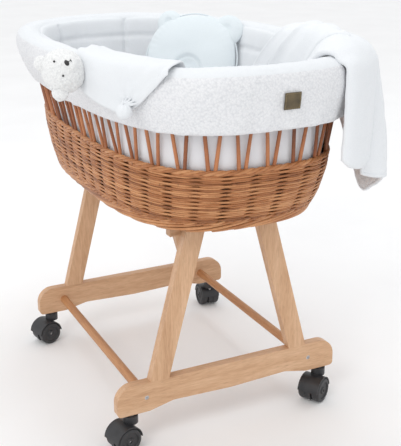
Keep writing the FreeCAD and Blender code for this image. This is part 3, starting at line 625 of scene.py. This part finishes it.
# upright rods in pairs that spread from the weave to the hidden rim
rods = Bag()
PAIRS = 40
lows = even_phi(395.0, 204.0, 551.0, PAIRS)[0]
for k in range(PAIRS):
    for side in (-1, 1):
        d0 = side * rng.uniform(0.085, 0.125)
        d1 = side * rng.uniform(0.34, 0.43) + rng.normal() * 0.025
        a0 = even_phi(395.0, 204.0, 551.0, PAIRS, d0)[0][k]
        a1 = even_phi(408.0, 231.0, 689.0, PAIRS, d1)[0][k]
        if k == 0 and a0 > 3: a0 -= TAU
        if k == 0 and a1 > 3: a1 -= TAU
        s = np.linspace(0, 1, 14)
        bow = rng.normal() * 0.004
        zz = 546 + s * (690 - 546)
        ph = a0 + (a1 - a0) * (s + bow * np.sin(math.pi * s) * 8)
        A = 394.0 + 14 * s - 1.5 * (1 - s); B = 203.0 + 28 * s - 1.5 * (1 - s)
        p = outline(A, B, zz, ph)
        n = out_dir(A, B, zz, ph)
        rods.tube(p, (3.45 - 0.5 * s + 0.15 * np.sin(5 * s + k)) / 1000, n, 8, False, np.clip(rng.uniform(0.2, 0.75) + 0.1 * np.sin(7 * s + k), 0, 1), flat=0.9)
rods.build("basket_rods", mat_rod, "basket", slot="willow_rod", replaces=("basket_upright_rods",))

# the hidden rim border
rim = Bag()
m = 600
A, B, z = 409.0, 233.0, 699.0
phi, per = even_phi(A, B, z, m)
s = np.arange(m) / m
n = out_dir(A, B, z, phi)
base = outline(A, B, z, phi)
for k in range(4):
    a = TAU * (30 * s + k / 4)
    p = base + n * (np.cos(a) * 4.6 / 1000)[:, None]
    p[:, 2] += np.sin(a) * 4.2 / 1000
    rim.tube(p, 0.0036, n, 7, True, rng.uniform(0.3, 0.7))
rim.build("basket_rim", mat_weave, "basket", slot="willow", replaces=("basket_rim_border",))

# ------------------------------------------------------------------ liner behind the rods: one sheet, slightly gathered
NU = 640
lphi, per = even_phi(390, 205, 600, NU)
zs = np.linspace(466, 688, 30)
LA = np.interp(zs, [463, 480, 520, 551, 688], [350.0, 363.4, 380.4, 388.0, 397.6])
LB = np.interp(zs, [463, 480, 520, 551, 688], [187.0, 191.4, 196.4, 197.2, 221.6])
g = outline(LA[None], LB[None], zs[None], lphi[:, None])
n = out_dir(LA[None], LB[None], zs[None], lphi[:, None])
u = np.arange(NU)[:, None] / NU
fold = (0.55 * np.sin(TAU * u * 61 + 1.5 * np.sin(TAU * u * 7)) + 0.5 * pnoise(g * np.array([1, 1, 0.25]), 22)) * np.clip((zs[None] - 520) / 60, 0, 1)
g = g + n * (fold * 0.9 / 1000 - 0.0012)[..., None]
g2 = g - n * 0.0012
nv = g.shape[1]
full = np.concatenate([g, g2[:, ::-1]], 1)
liner = make("cloth_liner_sheet", full.reshape(-1, 3), grid_quads(NU, 2 * nv, True, True), mat_cotton, "basket", slot="cotton_sheet", replaces=("cloth_liner",))
seg = np.linalg.norm(np.diff(np.vstack([outline(LA[15], LB[15], zs[15], lphi), outline(LA[15], LB[15], zs[15], lphi[:1])]), axis=0), axis=1).sum()

# ------------------------------------------------------------------ bumper
FLAP = [(425, 226.5, 620.5), (429.5, 231, 626), (434.5, 244.5, 648), (438.5, 256, 672), (440, 262, 694), (436.5, 260.5, 711), (427, 252, 721.5), (413, 238.5, 725.5),
        (399, 225, 723), (390, 216, 716), (388.5, 214.3, 708.5), (393, 217.5, 706.5), (399, 222.6, 711.6), (419, 243, 711.6), (420.5, 243.6, 690), (413.5, 230, 650), (412, 223.2, 627), (417, 223.5, 621)]
NS = 900
sec = resample(smooth_loop(FLAP, 8), 104)
fphi, per = even_phi(436, 255, 690, NS)
g = outline(sec[None, :, 0], sec[None, :, 1], sec[None, :, 2], fphi[:, None])
nn = grid_normals(g, True, True)
if (nn[:, 30] * out_dir(436, 255, 690, fphi)).sum(-1).mean() < 0:
    nn = -nn
outer = np.clip((sec[:, 0] - 421.5) / 6, 0, 1) + np.clip((sec[:, 2] - 713) / 6, 0, 1)
outer = np.clip(outer, 0, 1)[None]
low = pnoise(g, 7, 1) * 3.4 + pnoise(g, 18, 2) * 1.5
hang = np.clip((700 - sec[None, :, 2]) / 70, 0, 1)
u = np.arange(NS)[:, None] / NS
pleat = hang ** 2 * (1.5 * pnoise(g * np.array([1, 1, 0.15]), 30, 3) + 1.1 * np.sin(TAU * (u * 47 + 0.6 * pnoise(g * np.array([1, 1, 0.0]), 6, 9))))
fuzz = pnoise(g, 170, 4) * 0.75 + pnoise(g, 330, 5) * 0.5
d = outer * (low * 0.8 - 1.2 + pleat + fuzz)
g = g + nn * (d / 1000)[..., None]
smooth_part = (sec[:, 2] > 713.5) | (sec[:, 0] < 405)
fq = grid_quads(NS, 104, True, True)
flap = make("bumper_flap", g.reshape(-1, 3), fq, mat_sherpa, "basket", slot="sherpa", replaces=("bumper",), mats=[mat_sherpa, mat_velour], mat_idx=smooth_part[fq[:, 0] % 104].astype(int))

PAD = [(394.5, 219.5, 708), (390, 216.5, 715), (384.0, 210.5, 712), (379.5, 204.5, 695), (374, 196, 655), (368, 188, 600), (362.5, 181.5, 549), (366, 184, 541.5),
       (378, 191.5, 541.5), (384.5, 194.3, 553), (390.2, 206.4, 620), (395, 218.4, 686), (395.4, 219.2, 700)]
sec = resample(smooth_loop(PAD, 8), 96)
NS = 720
pphi, per = even_phi(378, 200, 650, NS)
g = outline(sec[None, :, 0], sec[None, :, 1], sec[None, :, 2], pphi[:, None])
nn = grid_normals(g, True, True)
if (nn[:, 40] * out_dir(378, 200, 650, pphi)).sum(-1).mean() > 0:
    nn = -nn
inner = np.clip((386 - sec[:, 0] + (sec[:, 2] - 541) * 0.06) / 6, 0, 1)[None]
u = np.arange(NS)[:, None] / NS * per
panel = per / 12
dv = np.abs((u + panel * 0.3) % panel - panel / 2)
dv = panel / 2 - dv
dv = np.minimum(np.abs((u + panel * 0.3) % panel), panel - (u + panel * 0.3) % panel)
dh = np.abs(sec[None, :, 2] - 676) / 1000
crown = 3.2 * np.sqrt(np.clip(1 - (1 - np.clip(dv / 0.06, 0, 1)) ** 2, 0, 1)) - 3.6 * np.exp(-(dv / 0.005) ** 2) - 3.2 * np.exp(-(dh / 0.005) ** 2)
low = pnoise(g, 9, 6) * 2.2 + pnoise(g, 24, 7) * 1.0 + 1.3 * np.exp(-(dh / 0.02) ** 2) * pnoise(g * np.array([1, 1, 0.2]), 55, 8) + 1.0 * np.exp(-(dv / 0.02) ** 2) * pnoise(g * np.array([0.2, 0.2, 1]), 60, 8)
g = g + nn * (inner * (low + crown - 1.5) / 1000)[..., None]
pad = make("bumper_inner_pad", g.reshape(-1, 3), grid_quads(NS, 96, True, True), mat_velour, "basket", slot="minky")

# ------------------------------------------------------------------ mattress
def shell_of(g, closed_u=True):
    return g


ms = np.array([(0.02, 539.5), (0.3, 539.8), (0.6, 540.0), (0.85, 539.5), (0.95, 538), (0.985, 534), (1.0, 526), (0.994, 515), (0.994, 488), (1.0, 476), (0.985, 467), (0.95, 463), (0.8, 462), (0.4, 462), (0.02, 462)])
sec = smooth_loop(ms, 4, False)
NS = 480
mphi, per = even_phi(340, 172, 500, NS)
g = outline(340.0 * sec[None, :, 0], 172.0 * sec[None, :, 0], sec[None, :, 1], mphi[:, None])
top = np.clip((g[..., 2] - 0.534) / 0.004, 0, 1)
q = np.sin(TAU * (g[..., 0] + g[..., 1]) / 0.07) * np.sin(TAU * (g[..., 0] - g[..., 1]) / 0.07)
g[..., 2] += top * (np.abs(q) ** 0.5 * -1.2 + pnoise(g, 9) * 0.6) / 1000
mattress = make("mattress_quilted", g.reshape(-1, 3), np.vstack([grid_quads(NS, len(sec), True, False)]), mat_cotton, "mattress", slot="mattress_ticking", replaces=("mattress",))
pipe = Bag()
for z in (532.5, 469.0):
    pp = outline(340.6, 172.6, z, mphi)
    pipe.tube(pp, 0.0022, (0, 0, 1), 7, True)
pipe.build("mattress_piping", mat_thread, "mattress", slot="mattress_ticking")

# ------------------------------------------------------------------ pillow
PN = Vector((0.65, -0.637, 0.414)).normalized()
PU = (Vector((0, 0, 1)) - PN * PN.z).normalized()
PS = PU.cross(PN)
PC = Vector((-0.138, 0.108, 0.645))


def pillow_world(p):
    p = np.asarray(p)
    return np.array(PC) + p[..., :1] * np.array(PS) + p[..., 1:2] * np.array(PU) + p[..., 2:3] * np.array(PN)


def disc(radius, thick, dent, cx=0.0, cy=0.0, nr=30, na=96, z0=0.0, oval=1.0):
    """A stuffed round pad: crowned, thin at its seam, with an optional dent in the middle."""
    t = np.linspace(0, 1, nr)
    top = []
    for s in (1, -1):
        r = np.sin(t * math.pi / 2) * radius
        x = r / radius
        h = (np.clip(1 - x ** 2.6, 0, 1)) ** 0.5 * thick / 2
        if dent and s > 0:
            h = h - dent * np.exp(-(r / (radius * 0.30)) ** 4)
        top.append(np.stack([r, s * h], 1))
    prof = np.vstack([top[0], top[1][::-1][1:]])
    prof[0, 0] = prof[-1, 0] = radius * 0.002
    a = np.arange(na) / na * TAU
    g = np.stack([cx + prof[None, :, 0] * np.cos(a)[:, None] * oval, cy + prof[None, :, 0] * np.sin(a)[:, None], z0 + np.broadcast_to(prof[None, :, 1], (na, len(prof)))], -1)
    return g


g = disc(0.1035, 0.046, 0.0, nr=60, na=200)
r = np.hypot(g[..., 0], g[..., 1])
rd = np.hypot(g[..., 0], g[..., 1] + 0.024)
sq = 1 + 0.035 * np.cos(4 * (np.arctan2(g[..., 1], g[..., 0]) - math.radians(50)))
g[..., :2] *= (1 - (1 - sq) * np.clip(r / 0.1, 0, 1))[..., None]
ang = np.arctan2(g[..., 1], g[..., 0])
wr = np.exp(-((r - 0.1) / 0.016) ** 2) * np.sin(ang * 46 + 2 * np.sin(ang * 5)) * 0.0004
g[..., 2] += (pnoise(g, 22, 3) * 0.0016 + wr) * np.where(g[..., 2] >= 0, 1, -1)
g[..., 2] -= np.where(g[..., 2] > 0, 0.010 * np.exp(-(rd / 0.027) ** 4) + 0.0035 * np.exp(-((rd - 0.029) / 0.0035) ** 2), 0)
pv, pq = [pillow_world(g).reshape(-1, 3)], [grid_quads(200, g.shape[1], True, False)]
pillow = make("pillow_body", pv[0], pq[0], mat_minky, "pillow", slot="minky", replaces=("pillow",))
for i, (deg, er) in enumerate(((-36, 0.0275), (47, 0.034))):
    a = math.radians(deg)
    c = (math.sin(a) * 0.102, math.cos(a) * 0.102)
    e = disc(er, 0.022, 0.003, c[0], c[1], nr=22, na=72)
    e[..., 2] += pnoise(e, 60, i) * 0.0008 - 0.002
    eo = make(f"pillow_ear_{'left' if deg < 0 else 'right'}", pillow_world(e).reshape(-1, 3), grid_quads(72, e.shape[1], True, False), mat_minky, "pillow", slot="minky")
piping = Bag()
a = np.arange(200) / 200 * TAU
piping.tube(pillow_world(np.stack([0.104 * np.cos(a), 0.104 * np.sin(a), 0 * a], -1)), 0.0016, tuple(PN), 7, True)
piping.build("pillow_piping", mat_minky, "pillow", slot="minky")

# ------------------------------------------------------------------ cloths over the rim
def rim_point(deg, hand):
    """Points on the middle of the padded rim and the level outward direction there."""
    ph = np.radians(deg)
    p = outline(409.0, 233.0, 725.0, ph)
    n = out_dir(409.0, 233.0, 725.0, ph)
    p = p.copy(); n = n.copy()
    p[..., 1] *= hand; n[..., 1] *= hand
    p[..., 2] = 0
    return p, n


def layer(name, hand, degs, path, thick, mat, body, nu=120, nv=160, ruffle=None, slant=None, slot=None, replaces=(), mats=None, mat_idx=None):
    """A cloth layer over the rim. path(k) gives (offset, height) points in mm at the k-th station, from the outer hem to the inner hem."""
    st = [resample(smooth_loop(path(k), 8, False), nv, False) for k in range(len(degs))]
    st = np.array(st)
    k = np.linspace(0, len(degs) - 1, nu)
    full = smooth_loop(st.reshape(len(degs), -1), 12, False).reshape(-1, nv, 2)
    kk = np.linspace(0, len(full) - 1, nu)
    i0 = np.clip(kk.astype(int), 0, len(full) - 2)
    w = (kk - i0)[:, None, None]
    sec = full[i0] * (1 - w) + full[i0 + 1] * w
    dd = np.interp(k, np.arange(len(degs)), degs)
    dg = np.broadcast_to(dd[:, None], (nu, nv)).copy()
    if slant is not None:
        dg += slant(np.linspace(0, 1, nu)[:, None], np.linspace(0, 1, nv)[None])
    p, n = rim_point(dg, hand)
    g = p + n * sec[..., :1] / 1000
    g[..., 2] = sec[..., 1] / 1000
    nn = grid_normals(g, False, False)
    sgn = np.sign((nn[:, 5] * n[:, 5]).sum(-1).mean())
    nn = nn * sgn
    if ruffle is not None:
        g = g + nn * (ruffle(g, np.linspace(0, 1, nu)[:, None], np.linspace(0, 1, nv)[None]) / 1000)[..., None]
        nn = grid_normals(g, False, False)
        nn = nn * np.sign((nn[:, 5] * n[:, 5]).sum(-1).mean())
    U = np.linspace(0, 1, nu)[:, None]
    Vv = np.linspace(0, 1, nv)[None]
    eu = np.minimum(U, 1 - U) * nu * 0.5
    ev = np.minimum(Vv, 1 - Vv) * nv * 0.5
    t = thick / 1000 * np.sqrt(np.clip(np.minimum(np.broadcast_to(eu, (nu, nv)), np.broadcast_to(ev, (nu, nv))) / 3.0, 0.0, 1) * (2 - np.clip(np.minimum(np.broadcast_to(eu, (nu, nv)), np.broadcast_to(ev, (nu, nv))) / 3.0, 0, 1)))
    t = np.maximum(t, thick / 1000 * 0.12)
    a = g + nn * (t / 2)[..., None]
    b = g - nn * (t / 2)[..., None]
    verts = np.concatenate([a.reshape(-1, 3), b.reshape(-1, 3)])
    q1 = grid_quads(nu, nv, False, False)
    q2 = q1[:, ::-1] + nu * nv
    idx = np.arange(nu * nv).reshape(nu, nv)
    border = np.concatenate([idx[:-1, 0], idx[-1, :-1], idx[:0:-1, -1], idx[0, :0:-1]])
    nb = np.roll(border, -1)
    q3 = np.stack([border, nb, nb + nu * nv, border + nu * nv], 1)[:, ::-1]
    allq = np.vstack([q1, q2, q3])
    if sgn < 0:
        allq = allq[:, ::-1]
    mi = None
    if mats is not None:
        mi = np.zeros(len(allq), int)
        mi[mat_idx(len(q1))] = 1
    o = make(name, verts, allq, mat, body, slot=slot, replaces=replaces, mats=mats, mat_idx=mi)
    return o, g


def area_of(g):
    a = np.cross(g[1:, :-1] - g[:-1, :-1], g[:-1, 1:] - g[:-1, :-1])
    b = np.cross(g[:-1, 1:] - g[1:, 1:], g[1:, :-1] - g[1:, 1:])
    return float((np.linalg.norm(a, axis=-1).sum() + np.linalg.norm(b, axis=-1).sum()) / 2)


def declare(g):
    w = float(np.linalg.norm(np.diff(g[:, g.shape[1] // 2], axis=0), axis=1).sum())
    l = float(np.linalg.norm(np.diff(g[g.shape[0] // 2], axis=0), axis=1).sum())
    ar = area_of(g)
    while w * l < ar:
        w *= 1.02; l *= 1.02


# blanket: a folded throw round the corner. A flared back layer hangs in a point, a narrow folded strip lies in
# front of it, and two slanted bands of it lie inside over the padded wall.
def ramp01(x, a, b):
    t = np.clip((x - a) / (b - a), 0, 1)
    return t * t * (3 - 2 * t)


BD = [37.5, 39, 41, 44, 48, 52, 56, 59.5, 63, 67, 72]
BO = [516, 510, 506, 503, 488, 470, 450, 436, 490, 560, 628]
BF = [0.0, 0.42, 0.85, 1.0, 1.0, 1.0, 0.95, 0.85, 0.68, 0.45, 0.2]


def back_path(k):
    zo, f = BO[k], BF[k]
    zi = 640
    return [(48 + 46 * f, zo), (47 + 41 * f, (zo * 2 + 690) / 3), (46 + 33 * f, (zo + 690 * 2) / 3), (45 + 22 * f, 690), (42 + 15 * f, 716), (26 + 9 * f, 736), (4, 743 - 5 * (k > 7)), (-18, 738 - 4 * (k > 7)), (-35, 719), (-45, 695), (-50, 668), (-53, zi)]


def back_ruffle(g, u, v):
    hang = np.clip((0.70 - g[..., 2]) / 0.2, 0, 1)
    top = ramp01(g[..., 2], 0.69, 0.73)
    return (hang * (4.5 * np.sin(TAU * (u * 1.9 + 0.15)) + 3.0 * pnoise(g, 13, 1)) + top * (3.2 * pnoise(g * np.array([1, 1, 0.3]), 14, 2) + 2.4 * np.sin(TAU * (u * 2.2 - v * 1.3 + 0.2)))
            + 1.4 * pnoise(g, 34, 5) + 0.35 * pnoise(g, 150, 6))


# painted shade: a darker, greyer copy of the fleece for the back layer's side that faces the basket and hangs in shadow
mat_underside_shade = cloth("fleece_underside_shade", (0.76, 0.755, 0.755), (0.62, 0.615, 0.62), 480, 0.0022, curl=0.5, sheen=0.1)
back, bg = layer("blanket_back_layer", 1, BD, back_path, 9.0, mat_fleece, "blanket", nu=190, nv=200, ruffle=back_ruffle, slot="fleece", replaces=("blanket",),
                 slant=lambda u, v: 9.0 * ramp01(v, 0.62, 1.0) * u ** 0.5, mats=[mat_fleece, mat_underside_shade], mat_idx=lambda n1: slice(n1, 2 * n1))
declare(bg)
# the hem: a turned edge that runs all round the back layer
hem = Bag()
ring_ = np.concatenate([bg[:, 0], bg[-1, 1:], bg[::-1, -1][1:], bg[0, ::-1][1:-1]])
hem.tube(resample(ring_, 520), 0.0042, np.array([0.3, 0.4, 0.86]), 8, True, 0.5)
hem.build("blanket_hem", mat_fleece, "blanket", slot="fleece")

FD = [24.5, 26.5, 29, 32, 35, 37.5, 39.5]
FO = [556, 544, 538, 533, 533, 540, 556]


def front_path(k):
    zo = FO[k]
    o = [37.5, 43, 46, 48, 50, 54, 50][k]
    h = [15.5, 10, 4, 0, 0, 0, 2][k]
    return [(o - 1, zo), (o, (zo * 2 + 690) / 3), (o + 1.5, (zo + 690 * 2) / 3), (o + 2.5, 690), (o, 712), (o - 14, 733 - h), (12, 743 - h), (-10, 742 - h), (-29, 727 - h), (-41, 703), (-49, 668), (-54, 636)]


def front_ruffle(g, u, v):
    return 4.6 * np.sin(math.pi * np.clip(u, 0, 1)) ** 0.6 + 1.6 * pnoise(g, 17, 8) + 0.9 * pnoise(g, 52, 9) + 0.3 * pnoise(g, 150, 6) - 2.0 * np.exp(-((u - 0.93) / 0.05) ** 2)


front, fg = layer("blanket_front_fold", 1, FD, front_path, 11.0, mat_fleece, "blanket", nu=90, nv=190, ruffle=front_ruffle, slot="fleece",
                  slant=lambda u, v: 5.0 * ramp01(v, 0.55, 1.0) + 0 * u)
declare(fg)

# two bands inside: the outer hem of each is on the crest and the inner hem deep inside
ID = [40, 46, 52, 58, 63, 67]


def inner_path(k):
    return [(16, 744), (2, 748), (-14, 746), (-30, 736), (-44, 716), (-54, 690), (-60, 660), (-63, 622)]


def inner_ruffle(g, u, v):
    return 2.6 * pnoise(g, 13, 4) + 2.6 * np.sin(TAU * (u * 2.0 + 0.3 * v)) + 1.0 * pnoise(g, 40, 5) + 4.5 * np.exp(-((1 - u) / 0.07) ** 2)


fold2, ig = layer("blanket_inner_fold", 1, ID, inner_path, 9.0, mat_fleece, "blanket", nu=110, nv=120, ruffle=inner_ruffle, slot="fleece",
                  slant=lambda u, v: 10.5 * ramp01(v, 0.1, 1.0) + 0 * u)
declare(ig)
JD = [60, 65, 70, 74.5, 77.5]


def band_path(k):
    return [(22, 731), (8, 735.5), (-10, 735), (-28, 725), (-39, 704), (-46, 676), (-51, 645), (-54, 612)]


def band_ruffle(g, u, v):
    return 1.8 * pnoise(g, 15, 14) + 0.9 * pnoise(g, 42, 15) + 3.0 * np.exp(-((1 - u) / 0.1) ** 2)


band, jg = layer("blanket_inner_band", 1, JD, band_path, 8.0, mat_fleece, "blanket", nu=90, nv=120, ruffle=band_ruffle, slot="fleece",
                 slant=lambda u, v: 13.0 * ramp01(v, 0.1, 1.0) + 0 * u)
declare(jg)

# ------------------------------------------------------------------ comforter toy
TD = [66.5, 64, 61, 57, 52, 47.5, 43.5, 39.5, 36]
TO = [700, 684, 672, 660, 653, 650, 668, 694, 716]
TI = [716, 712, 709, 707, 705, 704, 706, 709, 715]


def toy_path(k):
    zo, zi = TO[k], TI[k]
    o = [39, 40, 40, 39, 38.5, 38.5, 38, 37.5, 37][k]
    c = [4, 6, 4, 2, 0, 0, 0, -1, -3][k]
    return [(o - (2 if zo > 700 else 0), zo), (o - (3 if zo > 700 else 0), max(zo + 3, (zo + 705) / 2)), (o - (4.5 if zo > 700 else 0.5), max(zo + 6, 705)), (29 if zo > 700 else 31, 724 + c * 0.5), (15, 729.5 + c), (-5, 729.5 + c), (-23, 725 + c * 0.7), (-35, zi)]


KNOT_DEG, KNOT_Z = 46.0, 0.657
kp, kn = rim_point(np.array([KNOT_DEG]), -1)
KC = kp[0] + kn[0] * 0.0535
KC[2] = KNOT_Z


def toy_ruffle(g, u, v):
    tang = np.cross([0, 0, 1.0], kn[0])
    rel = g - KC - np.array([0, 0, 0.008])
    a = np.arctan2(rel @ tang, rel[..., 2])
    d = np.sqrt((rel @ tang) ** 2 + rel[..., 2] ** 2)
    folds = 1.5 * np.cos(a * 7 + 0.6) * np.exp(-d / 0.03) * np.clip(d / 0.008, 0, 1)
    neck = 2.2 * np.sin(TAU * v * 5 + 1.0) * np.exp(-u / 0.10)
    return 1.6 + 1.7 * pnoise(g, 15, 3) + 1.3 * np.sin(TAU * (u * 2.1 + v * 1.6)) * 0.7 + 0.5 * pnoise(g, 60, 4) + folds + neck + 1.2 * np.exp(-((1 - u) / 0.05) ** 2)


toy, tg = layer("toy_body_cloth", -1, TD, toy_path, 4.5, mat_velour, "toy", nu=200, nv=150, ruffle=toy_ruffle, slot="velour", replaces=("toy_cloth",))
declare(tg)


def blob(name, c, r, axes, mat, body, fuzz=0.0, seed=0, nu=72, nv=48, slot=None, replaces=(), shape=None):
    a = np.arange(nu) / nu * TAU
    t = np.linspace(0.004, math.pi - 0.004, nv)
    d = np.stack([np.sin(t)[None] * np.cos(a)[:, None], np.sin(t)[None] * np.sin(a)[:, None], np.broadcast_to(np.cos(t)[None], (nu, nv))], -1)
    rr = np.ones((nu, nv))
    if shape is not None:
        rr = shape(d)
    ax = np.array(axes, float)
    p = np.array(c) + (d * np.array(r)[None, None] * rr[..., None]) @ ax
    if fuzz:
        nrm = grid_normals(p, True, False)
        cc = p - np.array(c)
        nrm = nrm * np.sign((nrm * cc).sum(-1))[..., None]
        p = p + nrm * ((pnoise(p, 140, seed) * 0.9 + pnoise(p, 320, seed + 1) * 0.6) * fuzz)[..., None]
    return make(name, p.reshape(-1, 3), grid_quads(nu, nv, True, False), mat, body, slot=slot, replaces=replaces)


HC = np.array([0.211, -0.2855, 0.706])
view = np.array([1.60778, -0.71476, 0.94966]) - HC
view /= np.linalg.norm(view)
# the face looks towards the light side; its chin points along the rim to the body
face = view + 0.26 * up
face /= np.linalg.norm(face)
right_img = rt - (rt @ face) * face
right_img /= np.linalg.norm(right_img)
up_img = np.cross(face, right_img)
chin = 0.84 * right_img + 0.54 * up_img
chin -= (chin @ face) * face
chin /= np.linalg.norm(chin)
sidev = np.cross(face, chin)
axes = np.array([sidev, -chin, face])
head = blob("toy_head_plush", HC, (0.0365, 0.0350, 0.0345), axes, mat_plush, "toy", fuzz=0.0014, seed=3, nu=140, nv=96, slot="plush", replaces=("toy_head",))
muz = blob("toy_muzzle", HC + face * 0.027 + chin * 0.010, (0.0165, 0.0135, 0.0125), axes, mat_plush, "toy", fuzz=0.0010, seed=9, nu=90, nv=60, slot="plush")
for i, (sd, e) in enumerate(((1, 0.0125), (-1, 0.0135))):
    c = HC + sidev * sd * 0.0285 - chin * 0.0235 + face * 0.002
    ear = blob(f"toy_ear_{'left' if sd > 0 else 'right'}", c, (e, e, e * 0.62), axes, mat_plush, "toy", fuzz=0.0010, seed=20 + i, nu=72, nv=48, slot="plush")
nose = blob("toy_nose", HC + face * 0.0385 + chin * 0.0065, (0.0050, 0.0036, 0.0030), axes, mat_nose, "toy", nu=40, nv=28, slot="label")
for sd in (1, -1):
    blob(f"toy_eye_{'left' if sd > 0 else 'right'}", HC + face * 0.0318 - chin * 0.0085 + sidev * sd * 0.0135, (0.0019, 0.0019, 0.0014), axes, mat_nose, "toy", nu=28, nv=20, slot="label")
st = Bag()
t = np.linspace(-1, 1, 15)
base = HC + chin * 0.0145 + face * 0.0388
pts = base[None] + t[:, None] * 0.0062 * sidev + (np.abs(t) ** 1.6)[:, None] * (-0.0035) * chin - (t ** 2)[:, None] * 0.0022 * face
st.tube(pts, 0.0005, tuple(face), 6, False)
t = np.linspace(0, 1, 7)
pts = HC + (chin * 0.009)[None] + (face * 0.0398)[None] + t[:, None] * 0.0055 * chin
st.tube(pts, 0.0005, tuple(face), 6, False)
st.build("toy_mouth_stitch", mat_nose, "toy", slot="label")
knot = blob("toy_knot_ball", KC, (0.0135, 0.0125, 0.0125), np.eye(3), mat_velour, "toy", nu=90, nv=60, slot="velour", replaces=("toy_knot",),
            shape=lambda d: 1 + 0.05 * np.cos(np.arctan2(d[..., 1], d[..., 0]) * 9) * np.clip(d[..., 2], 0, 1))
kk = Bag()
for i in range(6):
    a = (i / 5 - 0.5) * 2.4
    tang = np.cross([0, 0, 1.0], kn[0])
    o1 = KC + np.array([0, 0, 0.0095]) + tang * math.sin(a) * 0.003 - kn[0] * 0.004
    o2 = KC - kn[0] * 0.0145 + np.array([0, 0, 0.0085 + 0.012 * math.cos(a)]) + tang * math.sin(a) * 0.017
    s_ = np.linspace(0, 1, 9)[:, None]
    kk.tube(o1 * (1 - s_) + o2 * s_ + kn[0] * np.sin(s_ * math.pi) * 0.003, 0.0030 - 0.0012 * s_[:, 0], tuple(kn[0]), 8, False)
kk.build("toy_knot_gathers", mat_velour, "toy", slot="velour")

# ------------------------------------------------------------------ label patch: bare leather, stitched round its edge
lb = Bag()
ny, nz = 26, 24
yy = np.linspace(-0.0145, 0.0145, ny) + 0.011
zz = np.linspace(-0.0135, 0.0135, nz) + 0.670
Y, Z = np.meshgrid(yy, zz, indexing="ij")
ph = np.arctan2(Y / 0.255, 0.4385)
xs = np.interp(Z * 1000, [648, 672, 694], [434.5, 438.5, 440]) / 1000 + 0.0012
front_ = np.stack([xs + 0.0016, Y, Z], -1)
back_ = np.stack([xs - 0.0004, Y, Z], -1)
verts = np.concatenate([front_.reshape(-1, 3), back_.reshape(-1, 3)])
q1 = grid_quads(ny, nz, False, False)
idx = np.arange(ny * nz).reshape(ny, nz)
border = np.concatenate([idx[:-1, 0], idx[-1, :-1], idx[:0:-1, -1], idx[0, :0:-1]])
nb = np.roll(border, -1)
make("label_patch_leather", verts, np.vstack([q1, q1[:, ::-1] + ny * nz, np.stack([border, nb, nb + ny * nz, border + ny * nz], 1)[:, ::-1]]), mat_label, "basket", smooth=False, slot="label", replaces=("label_patch",))
stt = Bag()
e = 0.0016
loop = []
for k in range(7):
    for sgn_ in (-1, 1):
        y = -0.0145 + e + (0.029 - 2 * e) * (k + 0.5) / 7 + 0.011
        z = 0.670 + sgn_ * (0.0135 - e)
        stt.tube([(np.interp(z * 1000, [648, 672, 694], [434.5, 438.5, 440]) / 1000 + 0.0029, y + d_, z) for d_ in (-0.0013, 0, 0.0013)], 0.00035, (1, 0, 0), 6, False)
        z = 0.670 - 0.0135 + e + (0.027 - 2 * e) * (k + 0.5) / 7
        y = 0.011 + sgn_ * (0.0145 - e)
        stt.tube([(np.interp((z + d_) * 1000, [648, 672, 694], [434.5, 438.5, 440]) / 1000 + 0.0029, y, z + d_) for d_ in (-0.0013, 0, 0.0013)], 0.00035, (1, 0, 0), 6, False)
stt.build("label_stitches", mat_label_thread, "basket", slot="label")

# ------------------------------------------------------------------ floor and light
fm, fnt, fb = new_mat("floor_pale")
fnt.links.new(ramp(fnt, noise_tex(fnt, coords(fnt), 3, 3), [(0.3, (0.90, 0.90, 0.90)), (0.7, (0.93, 0.93, 0.93))]), fb.inputs["Base Color"])
fb.inputs["Roughness"].default_value = 0.9
bpy.ops.mesh.primitive_plane_add(size=40, location=(0, 0, -0.0005))
floor = bpy.context.object
floor.name = "floor"
floor.data.materials.append(fm)
world = bpy.data.worlds.new("studio")
scene.world = world
world.use_nodes = True
bg = world.node_tree.nodes["Background"]
bg.inputs["Color"].default_value = (0.985, 0.99, 1.0, 1)
bg.inputs["Strength"].default_value = 1.0


def area(name, loc, target, size, power_, col=(1, 1, 1)):
    d = bpy.data.lights.new(name, "AREA")
    d.energy = power_
    d.size = size
    d.color = col
    o = bpy.data.objects.new(name, d)
    scene.collection.objects.link(o)
    o.location = loc
    o.rotation_euler = (Vector(target) - Vector(loc)).to_track_quat("-Z", "Y").to_euler()
    return o


area("key", (1.6, -2.2, 2.6), (0, 0, 0.4), 1.2, 20, (1.0, 0.985, 0.96))
area("top", (-0.4, 0.3, 3.2), (0, 0, 0.4), 1.6, 14, (0.97, 0.985, 1.0))
scene.view_settings.view_transform = "Standard"
scene.view_settings.look = "None"
